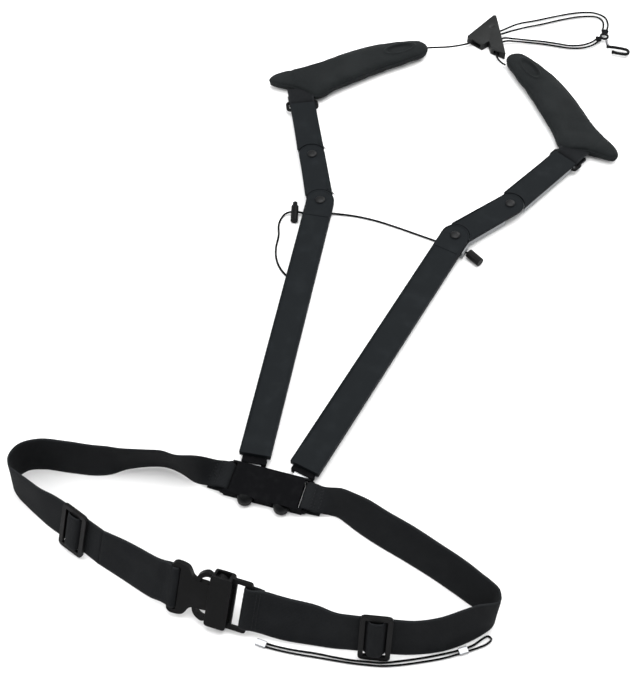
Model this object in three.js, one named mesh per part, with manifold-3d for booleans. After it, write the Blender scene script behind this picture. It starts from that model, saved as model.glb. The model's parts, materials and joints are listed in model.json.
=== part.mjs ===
// A saxophonist's body harness, lying ready on a flat surface.  Millimetres, +Z up.
// Origin: midway between the two pins that the back bars turn on, under the lumbar panel.
// +Y runs up the wearer's back.  Two long bars and two-link arms carry the shoulder pads,
// cords run from the pads through a chevron slider to the hook, and a belt closes the waist.
import * as THREE from 'three';
import { mergeVertices } from 'three/addons/utils/BufferGeometryUtils.js';
import Module from 'manifold-3d';

const wasm = await Module();
wasm.setup();

// ---------- driving dimensions ----------
const GAP = 0.3;                    // air between neighbours that touch
const RUN = 0.4;                    // radial play of a pin in its hole

const WEB_WIDTH = 38;               // belt webbing
const WEB_THICK = 1.6;
const LOOP_WIDTH = 26;              // narrow webbing of the pad straps

const PANEL_WIDTH = 76;
const PANEL_HEIGHT = 30;
const PANEL_THICK = 8.8;
const PANEL_SHIFT = [-2, 1.5];        // panel centre from the origin
const PANEL_FLOOR = 1.8;            // back wall of the panel
const PANEL_BAR = 4;                // end bar that the webbing is sewn round
const PANEL_SLOT = 4.4;
const PANEL_MID = 4.4;              // height of the end bars
const END_THICK = 3;

const PIN_SPACING = 35.6;           // between the two pins of the bars
const BAR_REACH = 314;              // pin to upper rivet
const BAR_WIDTH = 27;
const BAR_START = 25;               // pin to the end of the cover
const BAR_LIFT = 2.8;               // underside of bars and links
const CORE_THICK = 3;
const CORE_INSET = 1.2;
const COVER_THICK = 5.5;
const COVER_WALL = 2;
const TONGUE_WIDTH = 13;
const FOOT_RADIUS = 6.6;
const FOOT_LENGTH = 20;             // pin to the round foot's end
const LEAN = { left: 5, right: -13.5 };          // bars, anticlockwise from +Y
const SWING = 2.4;                  // how far a bar opens
const SLEEVE_WIDTH = 21;

const LINK_WIDTH = 26;
const LINK_COVER = 2.7;
const LINK_TONGUE = 19;
const MOUTH_CLEAR = 0.7;            // round a bar's or a link's end
const RIVET_RADIUS = 2.4;
const RIVET_HEAD = 4.6;
const RIVET_DOME = 1.3;
const LOWER_LINK = { left: 62, right: 69 };
const UPPER_LINK = { left: 76, right: 89 };
const LOWER_TURN = { left: 23.7, right: -38.5 };
const UPPER_TURN = { left: 24, right: -28.5 };

const RING_WIDTH = 34;
const RING_DEPTH = 13.4;
const RING_WIRE = 3.4;

const PAD_THICK = 16;
const PAD_BASE = 0.2;
const PAD_EDGE = 5;
const PAD_OFFSET = { left: [-12.13, 24.79], right: [19.28, 20.42] };   // pad from its strap
const PAD_TURN = { left: 36.2, right: 134.4 };
const INLAY_LENGTH = 24;
const INLAY_WIDTH = 9;

const CORD_RADIUS = 1;
const THIN_CORD_RADIUS = 0.8;
const CORD_LIFT = 1.3;

const SLIDER_THICK = 8;
const SLIDER_WALL = 1.7;
const SLIDER_LIFT = 0.2;

const HOOK_WIRE = 1.6;
const HOOK_Z = 4.2;
const EYE_RADIUS = 3.9;
const EYE_WIRE = 1.3;

const GLIDE_LENGTH = 25;
const GLIDE_WIDTH = WEB_WIDTH + 9;
const GLIDE_THICK = 3;
const GLIDE_BAR = 4;
const GLIDE_CENTRE = 7;
const GLIDE_CLEAR = 0.8;

const BUCKLE_WIDTH = WEB_WIDTH + 8;
const BUCKLE_THICK = 12;
const BUCKLE_WALL = 2;
const FEMALE_END = 34.5;
const FEMALE_MOUTH = -2;
const FEMALE_SLOT = [18.5, 26.5];
const FEMALE_BAR = 4.4;
const MALE_END = -34.5;
const PRONG_ROOT = -12;
const BARB_BACK = 4;
const LOOP_CLEAR = 2.1;
const LOOP_REACH = 8;
const BUCKLE_AT = [-11, -120.6, 7.1];
const BUCKLE_ALONG = [78.4, -2.4, 0];
const BUCKLE_LEAN = 33;
const MALE_THICK = 5;
const PRONG_LENGTH = 24;
const PRONG_WIDTH = 4.6;
const PRONG_Y = BUCKLE_WIDTH / 2 - 5;
const BARB = 2;

const RING_Z = BAR_LIFT + 3;        // height of the ring wire's centre
const STRAP_LENGTH = { left: 12, right: 11 };   // pad strap, from the ring into the pad
const STRAP_CLEAR = 3;              // from the ring wire's centre to the strap

const EYE_AT = [187.4, 634.6];      // ring that the cords end in
const SHANK_TOP = [190.6, 629.4];   // swivel shank, eye end
const SHANK_END = [193, 621.4];     // swivel shank, hook end

const LOCK_AT = [-66.8, 297.6];     // cord lock's centre
const LOCK_TURN = 14;
const LOCK_RADIUS = 3.6;
const LOCK_LENGTH = 19;
const PLUNGER_LENGTH = 12;
const STOP_RADIUS = 4.3;
const STOP_LENGTH = 15.5;
const BRACKET_Y = [BAR_REACH - 14, BAR_REACH - 1];   // bracket, along the bar
const BRACKET_CORD_Y = BAR_REACH - 7.3;   // where the cord passes through it

const LEFT_SPLIT = 0.5;             // where each half of the belt is divided, in its bend
const RIGHT_SPLIT = 0.52;

// ---------- helpers ----------
const rad = THREE.MathUtils.degToRad;
const assembly = new THREE.Group();

const INK = { color: 0x17191a, roughness: 0.75, metalness: 0 };
const FINISH = {
  webbing: { color: 0x111213, roughness: 0.9, metalness: 0 },
  panel_fabric: { color: 0x0a0b0b, roughness: 0.95, metalness: 0 },
  pad_fabric: { color: 0x24282a, roughness: 0.9, metalness: 0 },
  cover_plastic: INK,
  aluminium: { color: 0xa9acae, roughness: 0.4, metalness: 1 },
  liner: { color: 0x6d7072, roughness: 0.8, metalness: 0 },
  moulded_plastic: { color: 0x141516, roughness: 0.5, metalness: 0 },
  satin_metal: { color: 0x3d4040, roughness: 0.45, metalness: 0.6 },
  cord: { color: 0x1b1c1d, roughness: 0.85, metalness: 0 },
  steel: { color: 0xb4b6b8, roughness: 0.35, metalness: 1 },
};

function outline(points) {
  return new THREE.Shape(points.map(([x, y]) => new THREE.Vector2(x, y)));
}

function roundedOutline(points, radius) {
  const shape = new THREE.Shape();
  points.forEach(([x, y], i) => {
    const before = points.at(i - 1);
    const after = points[(i + 1) % points.length];
    const corner = new THREE.Vector2(x, y);
    const enter = new THREE.Vector2(...before).sub(corner).setLength(radius).add(corner);
    const leave = new THREE.Vector2(...after).sub(corner).setLength(radius).add(corner);
    if (i === 0) shape.moveTo(enter.x, enter.y);
    else shape.lineTo(enter.x, enter.y);
    shape.quadraticCurveTo(x, y, leave.x, leave.y);
  });
  shape.closePath();
  return shape;
}

function rectangle(x0, y0, x1, y1) {
  return [[x0, y0], [x1, y0], [x1, y1], [x0, y1]];
}

function slab(shape, z0, z1, curveSegments = 4) {
  const geometry = new THREE.ExtrudeGeometry(shape, {
    depth: z1 - z0, bevelEnabled: false, curveSegments,
  });
  return geometry.translate(0, 0, z0);
}

function block(x0, x1, y0, y1, z0, z1) {
  const geometry = new THREE.BoxGeometry(x1 - x0, y1 - y0, z1 - z0);
  return geometry.translate((x0 + x1) / 2, (y0 + y1) / 2, (z0 + z1) / 2);
}

function disc(radius, z0, z1, x = 0, y = 0, sides = 24) {
  const geometry = new THREE.CylinderGeometry(radius, radius, z1 - z0, sides);
  return geometry.rotateX(Math.PI / 2).translate(x, y, (z0 + z1) / 2);
}

function rod(radius, from, to, sides = 12) {
  const a = new THREE.Vector3(...from);
  const b = new THREE.Vector3(...to);
  const geometry = new THREE.CylinderGeometry(radius, radius, a.distanceTo(b), sides);
  const turn = new THREE.Quaternion().setFromUnitVectors(
    new THREE.Vector3(0, 1, 0), b.clone().sub(a).normalize());
  const middle = a.add(b).multiplyScalar(0.5);
  return geometry.applyQuaternion(turn).translate(middle.x, middle.y, middle.z);
}

function solid(geometry) {
  const bare = geometry.clone();
  bare.deleteAttribute('normal');
  bare.deleteAttribute('uv');
  const merged = mergeVertices(bare, 1e-4);
  return new wasm.Manifold(new wasm.Mesh({
    numProp: 3,
    vertProperties: new Float32Array(merged.attributes.position.array),
    triVerts: new Uint32Array(merged.index.array),
  }));
}

function shapeOf(manifold) {
  const mesh = manifold.getMesh();
  const geometry = new THREE.BufferGeometry();
  geometry.setAttribute('position', new THREE.BufferAttribute(mesh.vertProperties, 3));
  geometry.setIndex(new THREE.BufferAttribute(mesh.triVerts, 1));
  return geometry;
}

function join(first, ...rest) {
  return shapeOf(rest.reduce((all, g) => all.add(solid(g)), solid(first)));
}

function cut(first, ...tools) {
  return shapeOf(tools.reduce((all, g) => all.subtract(solid(g)), solid(first)));
}

function add(group, name, geometry, finish) {
  const mesh = new THREE.Mesh(geometry, new THREE.MeshStandardMaterial(FINISH[finish]));
  mesh.name = name;
  group.add(mesh);
  return mesh;
}

function placed(x, y, z, degrees, parent = assembly) {
  const group = new THREE.Group();
  group.position.set(x, y, z);
  group.rotation.z = rad(degrees);
  parent.add(group);
  return group;
}

function round(radius, sides) {
  return new THREE.Shape().absarc(0, 0, radius, 0, 2 * Math.PI * (1 - 1 / sides));
}

function cordTube(points, radius, steps) {
  const path = new THREE.CatmullRomCurve3(points.map((p) => new THREE.Vector3(...p)), false,
    'centripetal');
  const sides = 8;
  const ring = [];
  for (let i = 0; i < sides; i += 1) {
    const angle = (2 * Math.PI * i) / sides;
    ring.push([radius * Math.cos(angle), radius * Math.sin(angle)]);
  }
  return new THREE.ExtrudeGeometry(outline(ring), { steps, extrudePath: path });
}

// A flat strap through stations [x, y, z, lean]: the point is on its lower edge, and lean is
// how far the upper edge falls inwards, in degrees from upright.
function strapGeometry(stations, steps, from, to) {
  const path = beltPath(stations);
  const seam = GAP / 2 / path.getLength();
  const start = from > 0 ? from + seam : 0;
  const end = to < 1 ? to - seam : 1;
  const positions = [];
  const indices = [];
  const last = stations.length - 1;
  for (let i = 0; i <= steps; i += 1) {
    const t = path.getUtoTmapping(THREE.MathUtils.lerp(start, end, i / steps), 0);
    const at = path.getPoint(t);
    const along = path.getTangent(t).setZ(0).normalize();
    const cell = Math.min(Math.floor(t * last), last - 1);
    const lean = THREE.MathUtils.lerp(stations[cell][3], stations[cell + 1][3], t * last - cell);
    const inward = new THREE.Vector3(-along.y, along.x, 0);
    const across = inward.clone().multiplyScalar(Math.sin(rad(lean)));
    across.z = Math.cos(rad(lean));
    const face = new THREE.Vector3().crossVectors(along, across).multiplyScalar(WEB_THICK / 2);
    for (const [w, s] of [[0, -1], [0, 1], [WEB_WIDTH, 1], [WEB_WIDTH, -1]]) {
      const corner = at.clone().addScaledVector(across, w).addScaledVector(face, s);
      positions.push(corner.x, corner.y, corner.z);
    }
    if (i === 0) indices.push(0, 1, 2, 0, 2, 3);
    else {
      const a = 4 * (i - 1);
      for (let k = 0; k < 4; k += 1) {
        const b = (k + 1) % 4;
        indices.push(a + k, a + 4 + k, a + 4 + b, a + k, a + 4 + b, a + b);
      }
    }
  }
  const cap = 4 * steps;
  indices.push(cap, cap + 2, cap + 1, cap, cap + 3, cap + 2);
  const geometry = new THREE.BufferGeometry();
  geometry.setAttribute('position', new THREE.Float32BufferAttribute(positions, 3));
  geometry.setIndex(indices);
  return geometry;
}

// A webbing loop: a flat ring of webbing round a bar, seen along the bar.
function loopGeometry(from, to, width, inner) {
  const outer = inner + WEB_THICK;
  const stadium = (r, x0, x1) => {
    const shape = new THREE.Shape();
    shape.absarc(x1, 0, r, -Math.PI / 2, Math.PI / 2);
    shape.absarc(x0, 0, r, Math.PI / 2, 1.5 * Math.PI);
    return shape;
  };
  const band = stadium(outer, from, to);
  band.holes.push(stadium(inner, from, to));
  return slab(band, -width / 2, width / 2, 6).rotateX(Math.PI / 2);
}

// ---------- lumbar panel ----------
const PIN_X = { left: -PIN_SPACING / 2, right: PIN_SPACING / 2 };
const CORE_TOP = BAR_LIFT + CORE_THICK;
const COVER_BASE = CORE_TOP + GAP;
const COVER_TOP = COVER_BASE + COVER_THICK;
const panelX = [PANEL_SHIFT[0] - PANEL_WIDTH / 2, PANEL_SHIFT[0] + PANEL_WIDTH / 2];
const panelY = [PANEL_SHIFT[1] - PANEL_HEIGHT / 2, PANEL_SHIFT[1] + PANEL_HEIGHT / 2];

function tongueChannel(side, margin, z0, z1) {
  const reach = PANEL_HEIGHT;
  const half = TONGUE_WIDTH / 2 + margin;
  const channel = block(-half, half, -reach, reach, z0, z1);
  const parts = [0, side === 'left' ? SWING : -SWING].map((extra) => channel.clone()
    .rotateZ(rad(LEAN[side] + extra)).translate(PIN_X[side], 0, 0));
  return join(...parts);
}

function lumbarPanel() {
  const body = slab(roundedOutline(rectangle(panelX[0], panelY[0], panelX[1], panelY[1]), 3),
    0, PANEL_THICK);
  const channels = ['left', 'right'].map((side) => tongueChannel(side, 1,
    PANEL_FLOOR, CORE_TOP + 0.7));
  const slots = [panelX[0] + PANEL_BAR, panelX[1] - PANEL_BAR - PANEL_SLOT].map((x) => block(
    x, x + PANEL_SLOT, panelY[0] + 2, panelY[1] - 2, -1, PANEL_THICK + 1));
  const pinHoles = ['left', 'right'].map((side) => disc(RIVET_RADIUS + RUN, -1,
    CORE_TOP + 0.1, PIN_X[side], 0));
  const bars = [panelX[0] - 1, panelX[1] - PANEL_BAR].flatMap((x) => [
    block(x, x + PANEL_BAR + 1, panelY[0] - 1, panelY[1] + 1, -1, PANEL_MID - END_THICK / 2),
    block(x, x + PANEL_BAR + 1, panelY[0] - 1, panelY[1] + 1, PANEL_MID + END_THICK / 2, 20)]);
  add(assembly, 'lumbar_panel', cut(body, ...channels, ...slots, ...pinHoles, ...bars),
    'panel_fabric');
}

function barSleeve(side) {
  const group = placed(PIN_X[side], 0, 0, LEAN[side]);
  const tilt = rad(Math.abs(LEAN[side]));
  const base = panelY[1] / Math.cos(tilt) + (SLEEVE_WIDTH / 2) * Math.tan(tilt + rad(SWING)) + 0.5;
  const outer = block(-SLEEVE_WIDTH / 2, SLEEVE_WIDTH / 2, base, BAR_START - GAP,
    BAR_LIFT - 1.4, CORE_TOP + 1.8);
  const inner = block(-TONGUE_WIDTH / 2 - GAP, TONGUE_WIDTH / 2 + GAP, 0, BAR_START + 5,
    BAR_LIFT - GAP, CORE_TOP + GAP);
  add(group, `bar_sleeve_${side}`, cut(outer, inner), 'panel_fabric');
}

function pivotPin(side) {
  const shank = disc(RIVET_RADIUS, GAP, CORE_TOP, PIN_X[side], 0);
  add(assembly, `panel_pin_${side}`, shank, 'steel');
}

// ---------- back bars ----------
function barCore(group, side) {
  const half = BAR_WIDTH / 2 - CORE_INSET;
  const top = BAR_REACH - BAR_WIDTH / 2 - 8;
  const plate = block(-half, half, BAR_START + 1, top, BAR_LIFT, CORE_TOP);
  const tongue = block(-TONGUE_WIDTH / 2, TONGUE_WIDTH / 2, -FOOT_LENGTH + TONGUE_WIDTH / 2,
    BAR_START + 4, BAR_LIFT, CORE_TOP);
  const foot = disc(TONGUE_WIDTH / 2, BAR_LIFT, CORE_TOP, 0, -FOOT_LENGTH + TONGUE_WIDTH / 2);
  const tilt = rad(Math.abs(LEAN[side]));
  const r = TONGUE_WIDTH / 2;
  const clear = (panelY[0] - GAP) / Math.cos(tilt) - r * Math.tan(tilt + rad(SWING));
  const ball = new THREE.SphereGeometry(FOOT_RADIUS, 20, 12)
    .translate(0, -FOOT_LENGTH + FOOT_RADIUS, FOOT_RADIUS + 0.2);
  const beyond = block(-r - 3, r + 3, -FOOT_LENGTH - 3, clear, 0, 30);
  const hole = disc(RIVET_RADIUS + RUN, 0, COVER_TOP);
  const whole = solid(plate).add(solid(tongue)).add(solid(foot)).subtract(solid(hole))
    .add(solid(ball).intersect(solid(beyond)));
  add(group, `bar_core_${side}`, shapeOf(whole), 'aluminium');
}

function barCover(group, side) {
  const half = BAR_WIDTH / 2;
  const shape = new THREE.Shape();
  shape.moveTo(-half, BAR_START);
  shape.lineTo(half, BAR_START);
  shape.lineTo(half, BAR_REACH);
  shape.absarc(0, BAR_REACH, half, 0, Math.PI);
  shape.closePath();
  const skin = slab(shape, COVER_BASE, COVER_TOP, 10);
  const rimmed = block(-half + COVER_WALL, half - COVER_WALL, BAR_START + 20,
    BAR_REACH - 20, COVER_TOP - 0.5, COVER_TOP + 1);
  const hole = disc(RIVET_RADIUS + RUN, 0, COVER_TOP + 1, 0, BAR_REACH);
  add(group, `bar_cover_${side}`, cut(skin, rimmed, hole), 'cover_plastic');
}

// ---------- rivets ----------
function rivet(group, name, y, headBase) {
  const head = [[0, BAR_LIFT + 0.2], [RIVET_RADIUS, BAR_LIFT + 0.2]];
  head.push([RIVET_RADIUS, headBase + GAP]);
  for (let i = 0; i <= 4; i += 1) {
    const angle = (Math.PI / 2) * (i / 4);
    head.push([RIVET_HEAD * Math.cos(angle), headBase + GAP + RIVET_DOME * Math.sin(angle)]);
  }
  const geometry = new THREE.LatheGeometry(head.map(([x, z]) => new THREE.Vector2(x, z)), 16);
  add(group, name, geometry.rotateX(Math.PI / 2).translate(0, y, 0), 'moulded_plastic');
}

// ---------- arm links ----------
// A link starts at a rivet, with its tongue under the piece before, and ends round the next.
function linkPieces(group, name, length, hasRivet) {
  const half = LINK_WIDTH / 2;
  const reach = Math.max(BAR_WIDTH, LINK_WIDTH) / 2 + MOUTH_CLEAR;
  const linerTop = COVER_TOP - LINK_COVER - GAP;
  const end = hasRivet ? length : length - 2;
  const plan = new THREE.Shape();
  plan.moveTo(-half, 3);
  plan.lineTo(half, 3);
  plan.lineTo(half, end);
  if (hasRivet) plan.absarc(0, length, half, 0, Math.PI);
  else plan.lineTo(-half, end);
  plan.closePath();
  const mouth = disc(reach, -1, COVER_TOP + 2, 0, 0, 40);
  const rivetHole = disc(RIVET_RADIUS + RUN, -1, COVER_TOP + 2, 0, length);
  const cover = hasRivet
    ? cut(slab(plan, COVER_TOP - LINK_COVER, COVER_TOP, 10), mouth, rivetHole)
    : cut(slab(plan, COVER_TOP - LINK_COVER, COVER_TOP, 10), mouth);
  add(group, `${name}_cover`, cover, 'cover_plastic');

  const linerPlan = new THREE.Shape();
  const linerHalf = half - 0.6;
  const linerEnd = hasRivet ? length - reach - 1 : end;
  linerPlan.moveTo(-linerHalf, 3);
  linerPlan.lineTo(linerHalf, 3);
  linerPlan.lineTo(linerHalf, linerEnd);
  linerPlan.lineTo(-linerHalf, linerEnd);
  linerPlan.closePath();
  const bulk = solid(slab(linerPlan, BAR_LIFT, linerTop)).subtract(solid(mouth));
  const tongue = solid(block(-LINK_TONGUE / 2, LINK_TONGUE / 2, 0, reach + 4, BAR_LIFT, CORE_TOP))
    .add(solid(disc(LINK_TONGUE / 2, BAR_LIFT, CORE_TOP)))
    .subtract(solid(disc(RIVET_RADIUS + RUN, -1, 30)));
  let liner = bulk.add(tongue);
  if (!hasRivet) {
    const bore = rod(RING_WIRE / 2 + RUN, [-half - 1, ringBarY(length), RING_Z],
      [half + 1, ringBarY(length), RING_Z], 16);
    liner = liner.subtract(solid(bore));
  }
  add(group, `${name}_liner`, shapeOf(liner), 'liner');
}

function ringBarY(length) {
  return length - 5.4;
}

function ring(group, name, length) {
  const near = ringBarY(length);
  const far = near + RING_DEPTH - RING_WIRE;
  const x = (RING_WIDTH - RING_WIRE) / 2;
  const r = RING_WIRE / 2;
  const posts = [[x, near], [x, far], [-x, far], [-x, near]];
  let loop = null;
  posts.forEach(([px, py], i) => {
    const [qx, qy] = posts[(i + 1) % 4];
    const bar = solid(rod(r, [px, py, RING_Z], [qx, qy, RING_Z], 8));
    const knuckle = solid(new THREE.SphereGeometry(r, 8, 6).translate(px, py, RING_Z));
    loop = loop ? loop.add(bar).add(knuckle) : bar.add(knuckle);
  });
  add(group, name, shapeOf(loop), 'moulded_plastic');
}

function arm(side) {
  const bar = placed(PIN_X[side], 0, 0, LEAN[side]);
  barCore(bar, side);
  barCover(bar, side);
  rivet(bar, `elbow_rivet_${side}`, BAR_REACH, COVER_TOP);
  if (side === 'right') {
    cordBracket(bar);
    barrelStop(bar);
  }
  const lower = placed(0, BAR_REACH, 0, LOWER_TURN[side] - LEAN[side], bar);
  linkPieces(lower, `lower_link_${side}`, LOWER_LINK[side], true);
  rivet(lower, `shoulder_rivet_${side}`, LOWER_LINK[side], COVER_TOP);
  const upper = placed(0, LOWER_LINK[side], 0, UPPER_TURN[side] - LOWER_TURN[side], lower);
  linkPieces(upper, `upper_link_${side}`, UPPER_LINK[side], false);
  ring(upper, `strap_ring_${side}`, UPPER_LINK[side]);
}

// ---------- pad straps ----------

function strapPlace(side) {
  const origin = new THREE.Vector2();
  const at = new THREE.Vector2(0, BAR_REACH).rotateAround(origin, rad(LEAN[side]));
  at.x += PIN_X[side];
  at.add(new THREE.Vector2(0, LOWER_LINK[side]).rotateAround(origin, rad(LOWER_TURN[side])));
  const far = ringBarY(UPPER_LINK[side]) + RING_DEPTH - RING_WIRE;
  return at.add(new THREE.Vector2(0, far).rotateAround(origin, rad(UPPER_TURN[side])));
}

function strapGroup(side) {
  const at = strapPlace(side);
  return placed(at.x, at.y, 0, UPPER_TURN[side]);
}

function padStrap(side) {
  const loop = loopGeometry(-1.2, STRAP_LENGTH[side], LOOP_WIDTH, STRAP_CLEAR)
    .rotateZ(Math.PI / 2).translate(0, 0, RING_Z);
  add(strapGroup(side), `pad_strap_${side}`, loop, 'webbing');
}

function strapPocket(side, group) {
  const half = LOOP_WIDTH / 2 + GAP;
  const rise = STRAP_CLEAR + WEB_THICK + GAP;
  const pocket = block(-half, half, -rise - 2, STRAP_LENGTH[side] + rise, -2, RING_Z + rise);
  const from = strapGroup(side);
  assembly.updateMatrixWorld(true);
  const carry = group.matrixWorld.clone().invert().multiply(from.matrixWorld);
  assembly.remove(from);
  return pocket.applyMatrix4(carry);
}

// ---------- shoulder pads ----------
const PAD_OUTLINE = [[150, 4], [147, 12], [126, 19], [92, 24], [46, 22], [15, 18.5], [-22, 18],
  [-27, 10], [-6, -14], [12, -28], [35, -24], [63, -19.5], [91, -15], [125, -10], [146, -5]];

function padShape(side, inset) {
  const flip = side === 'left' ? 1 : -1;
  const points = PAD_OUTLINE.map(([x, y]) => new THREE.Vector2(
    60 + (x - 60) * (1 - inset / 88), 2 + (y - 2) * (1 - inset / 22)));
  const shape = new THREE.Shape();
  points.forEach((p) => { p.y *= flip; });
  if (flip < 0) points.reverse();
  const curve = new THREE.CatmullRomCurve3(points.map((p) => new THREE.Vector3(p.x, p.y, 0)),
    true, 'centripetal');
  shape.setFromPoints(curve.getPoints(30).slice(0, -1)
    .map((p) => new THREE.Vector2(p.x, p.y)));
  return shape;
}

function pad(side) {
  const flip = side === 'left' ? 1 : -1;
  const strap = strapPlace(side);
  const group = placed(strap.x + PAD_OFFSET[side][0], strap.y + PAD_OFFSET[side][1], 0,
    PAD_TURN[side]);
  const pocket = strapPocket(side, group);
  const crown = new THREE.ExtrudeGeometry(padShape(side, PAD_EDGE), {
    depth: PAD_THICK - PAD_BASE - 2 * PAD_EDGE,
    bevelEnabled: true, bevelThickness: PAD_EDGE, bevelSize: PAD_EDGE, bevelSegments: 2,
  }).translate(0, 0, PAD_BASE + PAD_EDGE);
  const well = new THREE.CylinderGeometry(1, 1, 4, 24).rotateX(Math.PI / 2)
    .scale(INLAY_LENGTH / 2 + GAP, INLAY_WIDTH / 2 + GAP, 1)
    .rotateZ(rad(flip * 4)).translate(122, flip * 5, PAD_THICK);
  add(group, `pad_cushion_${side}`, cut(crown, well, pocket), 'pad_fabric');
}

// ---------- front cords ----------
const FRONT_CORD_LEFT = [[7.4, 563.2, 5], [15, 566.6, 4.4], [26, 571, 4], [38, 577, 4.2],
  [49, 584.5, 4.2], [55, 590, 4.2], [62, 598, 4.2], [70, 606, 4.2], [78, 614, 4.2],
  [92, 630, 3], [110, 642, 2.2], [130, 655, 2.2], [152, 667.5, 2.2], [170, 672.5, 2.4],
  [183, 668, 3], [188, 658, 3.6], [188.8, 649, 4], [188, 643.2, 4.2], [185.9, 641.2, 4.2],
  [184, 643.2, 4.2], [184.2, 650, 4], [182, 660, 3.4], [175, 666, 2.6],
  [158, 663, 2], [138, 652, 2], [118, 638.5, 2], [101, 627, 2.6], [88, 616, 3.8],
  [79.5, 608.5, 4.2], [74, 604.5, 4.2]];
const FRONT_CORD_RIGHT = [[91.2, 559.2, 5], [88.4, 561, 4.4], [84, 564.6, 4.2], [80.3, 570, 4.2],
  [78.5, 577, 4.2], [77, 586, 4.2], [77, 595, 4.2], [82, 601.5, 4.2], [94, 605, 3.2],
  [108, 608, 2.2], [124, 610.5, 2], [140, 611.5, 2], [154, 612, 2.2], [167, 616.5, 2.6],
  [176, 623.5, 3.2], [179.6, 628, 4], [182, 629.4, 4.2], [182.4, 626.8, 4],
  [178.6, 620, 3.2], [169, 612.4, 2.6],
  [155, 608, 2.2], [140, 607.2, 2], [124, 606.4, 2], [110, 604.4, 2.2], [97, 601.4, 3.2],
  [86, 598, 4.2], [80.5, 594.4, 4.2]];

// ---------- chevron slider ----------
const SLIDER_OUTLINE = [[43, 589], [62, 580], [67.5, 588], [72, 577.5], [89, 572.5], [67, 631.5],
  [64, 631.5]];
const SLIDER_POCKET = [[49, 592], [62, 586], [70, 590], [75, 584], [83, 580], [79.5, 592],
  [71, 611], [65, 620]];
const SLIDER_WINDOWS = [
  [[47.5, 582], [58.5, 576.5], [62, 589], [51, 593]],
  [[75.2, 570], [81.8, 568], [81.8, 584], [75.2, 584]],
  [[72, 588], [90, 588], [86, 619], [66, 619]],
];

function sliderShell(name, z0, z1, pocket0, pocket1) {
  const shell = slab(roundedOutline(SLIDER_OUTLINE, 1.4), z0, z1);
  const pocket = slab(outline(SLIDER_POCKET), pocket0, pocket1);
  const windows = SLIDER_WINDOWS.map((w) => slab(outline(w), pocket0, pocket1));
  add(assembly, name, cut(shell, pocket, ...windows), 'satin_metal');
}

function chevronSlider() {
  const split = SLIDER_LIFT + SLIDER_THICK / 2;
  sliderShell('slider_back', SLIDER_LIFT, split - GAP / 2,
    SLIDER_LIFT + SLIDER_WALL, split + 1);
  sliderShell('slider_front', split + GAP / 2, SLIDER_LIFT + SLIDER_THICK,
    split - 1, SLIDER_LIFT + SLIDER_THICK - SLIDER_WALL);
}

// ---------- hook ----------

function hookEye() {
  const eye = new THREE.TorusGeometry(EYE_RADIUS, EYE_WIRE, 8, 20)
    .translate(EYE_AT[0], EYE_AT[1], HOOK_Z);
  add(assembly, 'hook_eye', eye, 'moulded_plastic');
}

function hookShank() {
  const shank = rod(1.5, [...SHANK_TOP, HOOK_Z], [...SHANK_END, HOOK_Z], 14);
  add(assembly, 'hook_shank', shank, 'steel');
}

function hookBody() {
  const bend = 7;
  const route = [[192.2, 619, HOOK_Z], [196.5, 619.6, HOOK_Z], [203, 620.2, HOOK_Z],
    [210, 620.2, HOOK_Z]];
  for (let i = 1; i <= 6; i += 1) {
    const angle = Math.PI / 2 - (Math.PI * i) / 6;
    route.push([212 + 0.62 * bend * Math.cos(angle), 620.2 - bend / 2 - 0.55
      + (bend / 2 + 0.55) * Math.sin(angle), HOOK_Z]);
  }
  route.push([206, 611.7, HOOK_Z], [199, 612.1, HOOK_Z]);
  const wire = cordTube(route, HOOK_WIRE, 18);
  const tip = new THREE.SphereGeometry(HOOK_WIRE + 0.7, 10, 7).translate(198, 612.2, HOOK_Z);
  const heel = new THREE.SphereGeometry(HOOK_WIRE + 0.5, 10, 7).translate(192.6, 619, HOOK_Z);
  add(assembly, 'hook_body', join(wire, tip, heel), 'moulded_plastic');
}

// ---------- rear cord, lock and stop ----------
const REAR_CORD_SPAN = [[-57, 300.6, CORD_LIFT], [-45, 304.5, CORD_LIFT], [-30, 308, CORD_LIFT],
  [-10, 310.6, CORD_LIFT], [11, 310.6, CORD_LIFT], [32, 308.2, CORD_LIFT], [55, 304.6, CORD_LIFT],
  [74, 301.6, CORD_LIFT], [88, 299.4, CORD_LIFT], [97, 297.3, CORD_LIFT],
  [103.4, 295.2, CORD_LIFT + 0.9], [107.6, 293.2, CORD_LIFT + 2.9], [111, 291, CORD_LIFT + 3.3]];
const REAR_CORD_TAIL = [[-57.6, 300.4, CORD_LIFT], [-60.6, 299.4, CORD_LIFT + 1.4],
  [-64, 298.4, CORD_LIFT + 2.5], [-67, 297.6, CORD_LIFT + 2.6], [-70.6, 296.6, CORD_LIFT + 2.3],
  [-75, 294.4, CORD_LIFT + 1], [-77.5, 289, CORD_LIFT],
  [-77.6, 280, CORD_LIFT], [-73.6, 266, CORD_LIFT], [-71.4, 250, CORD_LIFT],
  [-66, 236, CORD_LIFT], [-58, 226, CORD_LIFT], [-50, 220.4, CORD_LIFT], [-42, 217, CORD_LIFT]];

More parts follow.
